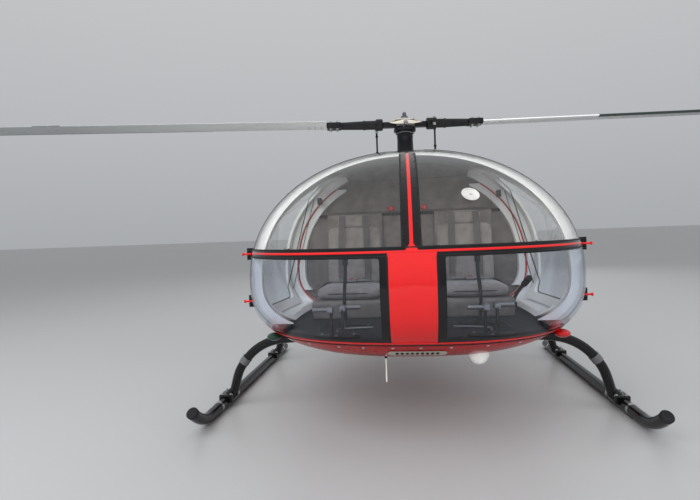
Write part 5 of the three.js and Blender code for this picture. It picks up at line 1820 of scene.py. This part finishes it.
def tail_rotor():
    body, x, y, z = "tail_rotor", TAIL["x"], TAIL["y"], TAIL["z"]
    shaft = cylinder(0.012, 0.062 - x, 0.030)
    add(turned("tail_rotor_shaft", shaft, (x, y, z), (1, 0, 0), 28), "steel", body, ["tail_rotor_hub"])
    yoke = soft_block("tail_rotor_yoke", around(x, 0.022), around(y, 0.034), around(z, 0.090), 0.006)
    add(yoke, "alloy", body)
    cap = [(0, 0.022), (0.026, 0.022), (0.026, 0.036), (0.022, 0.040), (0, 0.040)]
    add(turned("tail_rotor_cap", cap, (x, y, z), (1, 0, 0), 36), "steel", body)
    slider = [(0.012, -0.060), (0.030, -0.060), (0.030, -0.048), (0.020, -0.044), (0.020, -0.024),
              (0.012, -0.024)]
    add(turned("tail_pitch_slider", slider, (x, y, z), (1, 0, 0)), "black", body)
    bolts = [((x + 0.022, y + a, z + b), (1, 0, 0)) for a in (-0.018, 0.018) for b in (-0.068, 0.068)]
    hex_bolts("tail_yoke_bolt", bolts, "steel", body, 0.6)
    section = airfoil(TAIL["chord"], TAIL["thick"], 0.3, 18)
    tip = TAIL["radius"]
    stations = ((0.0906, 1), (0.430, 1), (0.432, 1), (tip - 0.015, 1), (tip - 0.006, 0.8), (tip, 0.35))
    for number, sign in ((1, 1), (2, -1)):
        rings = []
        for r, shrink in stations:
            chord = sign * (0.7 + 0.3 * shrink)
            rings.append([(x + b * shrink, y + a * chord, z + sign * r) for a, b in section])
        add(loft(f"tail_blade_skin_{number}", rings[:2]), "blade_white", body, [f"tail_blade_{number}"])
        add(loft(f"tail_blade_tip_{number}", rings[1:]), "red", body)
        bends = [(x - 0.054, y + sign * 0.026, z), (x - 0.030, y + sign * 0.048, z + sign * 0.050),
                 (x - 0.010, y + sign * 0.050, z + sign * 0.100)]
        add(tube(f"tail_pitch_link_{number}", bends, 0.004, 10), "satin", body)


# Skid gear
SKID = {"x": 1.145, "z": 0.034, "radius": 0.030, "heel_y": 0.430, "bend_y": -1.130, "toe_y": -1.330,
        "toe_lift": 0.095}
CROSS = {"radius": 0.027, "front": -0.880, "rear": 0.090, "z": 0.415}


def skid_shoe(ending, x, z, front, rear):
    """A wear plate under a skid tube, held by a clamp round the tube near each end."""
    add(soft_block(f"skid_shoe_{ending}", around(x, 0.020), (front, rear), (0.0, 0.012), 0.003), "steel")
    clamps = []
    for y in (front + 0.030, rear - 0.030):
        edges = ((y - 0.010, 0.0300), (y - 0.010, 0.0318), (y + 0.010, 0.0318), (y + 0.010, 0.0300))
        rings = [[(x + a, station, z + b) for a, b in circle(radius, 32)] for station, radius in edges]
        clamps.append(loft("clamp", rings))
    add(merged(f"shoe_clamps_{ending}", clamps), "alloy")


def skids():
    z, bend, rise = SKID["z"], SKID["bend_y"], SKID["toe_lift"]
    heel = [(0, 0.0005), (0.0300, 0.0005), (0.0305, 0.004), (0.027, 0.010), (0, 0.011)]
    cap = [(0, -0.012), (0.0305, -0.012), (0.0312, 0.000), (0.026, 0.006), (0, 0.007)]
    for side, sign in SIDES:
        x = sign * SKID["x"]
        shares = [k / 16 for k in range(17)]
        toe = [(x, bend + (SKID["toe_y"] - bend) * share, z + rise * share**2) for share in shares]
        path = [(x, SKID["heel_y"], z), (x, 0.0, z), (x, -0.6, z), *toe]
        skin = tube(f"skid_tube_skin_{side}", path, SKID["radius"], 32, 1)
        add(skin, "black", replaces=[f"skid_tube_{side}"])
        add(turned(f"skid_heel_cap_{side}", heel, (x, SKID["heel_y"], z), (0, 1, 0)), "rubber")
        add(turned(f"skid_toe_cap_{side}", cap, toe[-1], Vector(toe[-1]) - Vector(toe[-2])), "rubber")
        for number, (front, rear) in enumerate(((-1.040, -0.740), (0.040, 0.340))):
            skid_shoe(f"{side}_{number}", x, z, front, rear)


def leg_route(y):
    """Points of a cross tube's axis, from the middle to the left skid."""
    x, z = SKID["x"], CROSS["z"]
    return [(0, y, z), (0.520, y, z), (0.700, y, z - 0.004), (0.850, y, z - 0.023), (0.965, y, z - 0.084),
            (1.054, y, z - 0.192), (x - 0.042, y, 0.076)]


def leg_tube(name, y, grow=0.0):
    left = leg_route(y)
    route = [(-a, b, c) for a, b, c in reversed(left[1:])] + left
    return tube(name, route, CROSS["radius"] + grow, 28, 10)


def cross_tubes():
    for name in ("front", "rear"):
        y = CROSS[name]
        add(leg_tube(f"cross_tube_{name}_skin", y), "black", replaces=[f"cross_tube_{name}"])
        for side, sign in SIDES:
            saddle(f"{name}_{side}", sign, y)
            if name == "front":
                mount = soft_block(f"tube_mount_{side}", around(sign * 0.420, 0.030), around(y, 0.036),
                                   (CROSS["z"], 0.4696), 0.004)
                add(mount, "black")
            clamped = [Vector(p) for p in smooth_path(leg_route(y), 10) if 1.000 < p[0] < 1.036]
            band = tube(f"leg_clamp_{name}_{side}", [(sign * p.x, p.y, p.z) for p in clamped],
                        CROSS["radius"] + 0.0035, 28, 1)
            add(band, "leg_grey")


def saddle(ending, sign, y):
    """The block that holds a cross tube's end on its skid, with socket, bolts and pin."""
    x, z, socket = SKID["x"], SKID["z"], CROSS["radius"]
    top = z + 0.042
    body = soft_block(f"skid_saddle_{ending}", between(sign, x - 0.046, x + 0.034), around(y, 0.050),
                      (z - 0.006, top), 0.006)
    bore = turned("bore", cylinder(SKID["radius"] + 0.0005, -0.2, 0.2), (sign * x, y, z), (0, 1, 0), 40)
    add(carve(body, (CUT, bore)), "black")
    neck = [(0, 0), (socket + 0.006, 0), (socket + 0.006, 0.030), (socket + 0.003, 0.036), (0, 0.036)]
    low, high = Vector((sign * (x - 0.019), y, 0.058)), Vector((sign * (x - 0.047), y, 0.086))
    add(turned(f"leg_socket_{ending}", neck, low, high - low, 36), "black")
    heads = [((sign * (x + 0.014), y + dy, top - 0.0005), UP) for dy in (-0.032, 0.032)]
    hex_bolts(f"saddle_bolt_{ending}", heads, "alloy", size=0.85)
    pin = [((sign * (x - 0.036), y + way * 0.0335, 0.072), (0, way, 0)) for way in (1, -1)]
    hex_bolts(f"leg_pin_{ending}", pin, "alloy", size=0.8)


# Lamps, belly vent and antenna
BELLY_VENT = {"x": 0.014, "z": 0.439, "reach": 0.122, "end": 0.019}


def vent_outline(inset):
    """The belly vent seen from the front: a bar with round ends."""
    x, z, size = BELLY_VENT["x"], BELLY_VENT["z"], BELLY_VENT["end"] - inset
    points = []
    for sign in (1, -1):
        turns = np.linspace(-math.pi / 2, math.pi / 2, 16)
        middle = x + sign * BELLY_VENT["reach"]
        points += [(middle + sign * size * math.cos(a), z + sign * size * math.sin(a)) for a in turns]
    return points


def vent_plate(name, low, high, inset):
    """A plate on the bubble's nose, between two heights above its skin."""
    return carve(prism(name, vent_outline(inset), "y", NOSE_Y, NOSE_Y + 0.4),
                 (KEEP, bubble_solid("vent_out", -high)), (CUT, bubble_solid("vent_in", -low, WELL_BEHIND_Y)))


def belly_vent():
    grille = vent_plate("belly_vent_plate", 0.0004, 0.0040, 0)
    for k in range(9):
        x, z = BELLY_VENT["x"] + (k - 4) * 0.024, BELLY_VENT["z"]
        hole = [(x + 0.0080 * a, z + 0.0105 * b) for a, b in circle(1, 24)]
        carve(grille, (CUT, prism("hole", hole, "y", -2, 0)))
    add(grille, "cream", replaces=["belly_vent"])
    add(vent_plate("belly_vent_backing", 0.0002, 0.0008, 0.003), "rubber")


def landing_lamp():
    place, radius, sag, steps = (0.326, -1.180, 0.380), 0.052, 0.049, 9
    turns = [k / steps * math.pi / 2 for k in range(steps)]
    bulge = [(radius * math.cos(a), -sag * math.sin(a)) for a in turns]
    cover = turned("landing_lamp_lens", [(0, 0.04), (radius, 0.04), *bulge, (0, -sag)], place, sides=48)
    add(carve(cover, (CUT, bubble_solid("tub", -0.0004))), "lens_white", replaces=["landing_lamp"])
    rim = [(0.050, -0.002), (0.056, -0.001), (0.0575, 0.006), (0.0565, 0.030), (0.050, 0.030)]
    add(turned("landing_lamp_rim", rim, place, sides=56), "white")


def navigation_lamps():
    rim = [(0.026, 0.0), (0.036, 0.0), (0.035, 0.003), (0.030, 0.004), (0.026, 0.004)]
    for (side, sign), finish in zip(SIDES, ("lens_red", "lens_green")):
        at = Vector((sign * 0.738, -1.190, 0.490))
        bulb = turned(f"navigation_lens_{side}", ball(0.034, 1.4, 15), (0, 0, 0), (0, 1, 0), 36)
        bulb.data.transform(Matrix.Translation(at) @ Matrix.Diagonal((1.12, 1.08, 0.63, 1)))
        carve(bulb, (CUT, bubble_solid("room", -0.0004)))
        add(bulb, finish, replaces=[f"navigation_lamp_{side}"])
        foot = Vector(on_bubble((0, at.y, at.z), (sign, 0, 0)))
        out = bubble_normals(np.array([tuple(foot)]))[0]
        base = turned(f"navigation_lamp_base_{side}", rim, sides=40)
        base.data.transform(aimed(foot, out) @ Matrix.Diagonal((1, 0.62, 1, 1)))
        add(base, "rubber")


def antenna():
    x, y = -0.150, -1.100
    whip = [(0, 0.215), (0.0035, 0.215), (0.0050, 0.219), (0.0045, 0.300), (0.0050, 0.330), (0.0050, 0.372),
            (0, 0.372)]
    add(turned("belly_antenna_rod", whip, (x, y, 0), sides=18), "white", replaces=["belly_antenna"])
    base = [(0, 0), (0.022, 0), (0.020, 0.003), (0.009, 0.007), (0.007, 0.018), (0, 0.018)]
    foot = on_bubble((x, y, WIDEST_Z), (0, 0, -1))
    add(turned("antenna_base", base, foot, (0, 0, -1), 28), "rubber")


def fittings():
    belly_vent()
    landing_lamp()
    navigation_lamps()
    antenna()


def finish_node(name, finish):
    """Gives a CAD piece that stays in view its material."""
    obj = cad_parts[name]
    obj.data.materials.clear()
    obj.data.materials.append(MAT[finish])


def cad_pieces():
    """The CAD pieces that need no finer form than their own."""
    for name, finish in (("engine_block", "steel"), ("engine_bearers", "black"), ("main_gearbox", "steel"),
                         ("rear_wall", "trim"), ("cabin_floor", "carpet")):
        finish_node(name, finish)


def camera():
    """The photograph's viewpoint: straight ahead of the nose, just above the waist band."""
    data = bpy.data.cameras.new("camera")
    data.lens = 22.8
    data.sensor_width = 36
    data.shift_x = -0.010
    data.clip_start = 0.05
    eye = bpy.data.objects.new("camera", data)
    bpy.context.scene.collection.objects.link(eye)
    eye.location = (-0.03, -3.48 + MAST_Y, 1.01)
    pitch, yaw, roll = math.radians(-1.8), math.radians(6.15), math.radians(-2.07)
    level = Matrix.Rotation(yaw, 4, "Z") @ Matrix.Rotation(math.pi / 2 + pitch, 4, "X")
    eye.rotation_euler = (level @ Matrix.Rotation(roll, 4, "Z")).to_euler()
    bpy.context.scene.camera = eye


def soft_lamp(name, where, size, power):
    """A square area lamp that shines at the cabin and isn't mirrored in it."""
    lamp = bpy.data.lights.new(name, "AREA")
    lamp.energy = power
    lamp.size = size
    obj = bpy.data.objects.new(name, lamp)
    bpy.context.scene.collection.objects.link(obj)
    obj.location = where
    obj.visible_glossy = False
    aim = Vector((0, MAST_Y * 0.8, 0.9)) - Vector(where)
    obj.rotation_euler = aim.to_track_quat("-Z", "Y").to_euler()


def lights_and_floor():
    scene = bpy.context.scene
    world = bpy.data.worlds.new("studio")
    world.use_nodes = True
    tree = world.node_tree
    place = tree.nodes.new("ShaderNodeTexCoord")
    parts = tree.nodes.new("ShaderNodeSeparateXYZ")
    tree.links.new(place.outputs["Generated"], parts.inputs["Vector"])
    sky = ramp(tree, parts.outputs["Z"],
               [(0.0, (0.36, 0.37, 0.385)), (0.2, (0.42, 0.43, 0.445)), (1.0, (0.60, 0.60, 0.60))])
    tree.links.new(sky, tree.nodes["Background"].inputs["Color"])
    scene.world = world
    scene.view_settings.view_transform = "Standard"
    scene.view_settings.look = "Medium High Contrast"
    soft_lamp("key", (-4.0, -5.5, 5.0), 5.0, 230)
    soft_lamp("fill", (5.5, -4.0, 3.5), 5.0, 120)
    soft_lamp("top", (0, -0.5, 6.5), 7.0, 60)
    soft_lamp("back", (1.5, 6.0, 4.5), 5.0, 160)
    soft_lamp("front", (-0.6, -12.0, 4.0), 8.0, 680)
    corners = [(-400, -400, 0), (400, -400, 0), (400, 400, 0), (-400, 400, 0)]
    floor = object_from("floor", corners, [(0, 1, 2, 3)])
    material, _, _ = new_material("floor_paint", 0.35, 0.0, (0.37, 0.375, 0.38))
    floor.data.materials.append(material)
    TOOLS.discard(floor)


nose_panels()
cabin_shell()
doors()
cabin_lines()
borders()
hoops()
headliner()
belly_screws()
hinges()
door_fittings()
windshield_vent()
seats()
rear_wall_trim()
floor_details()
console()
pedals()
sticks()
cowl()
cowl_details()
mast()
hub()
swashplate()
grips()
main_blades()
tail_boom()
fins()
stabiliser()
tail_gearbox()
tail_guard()
tail_rotor()
skids()
cross_tubes()
fittings()
cad_pieces()
camera()
lights_and_floor()
remove_tools()
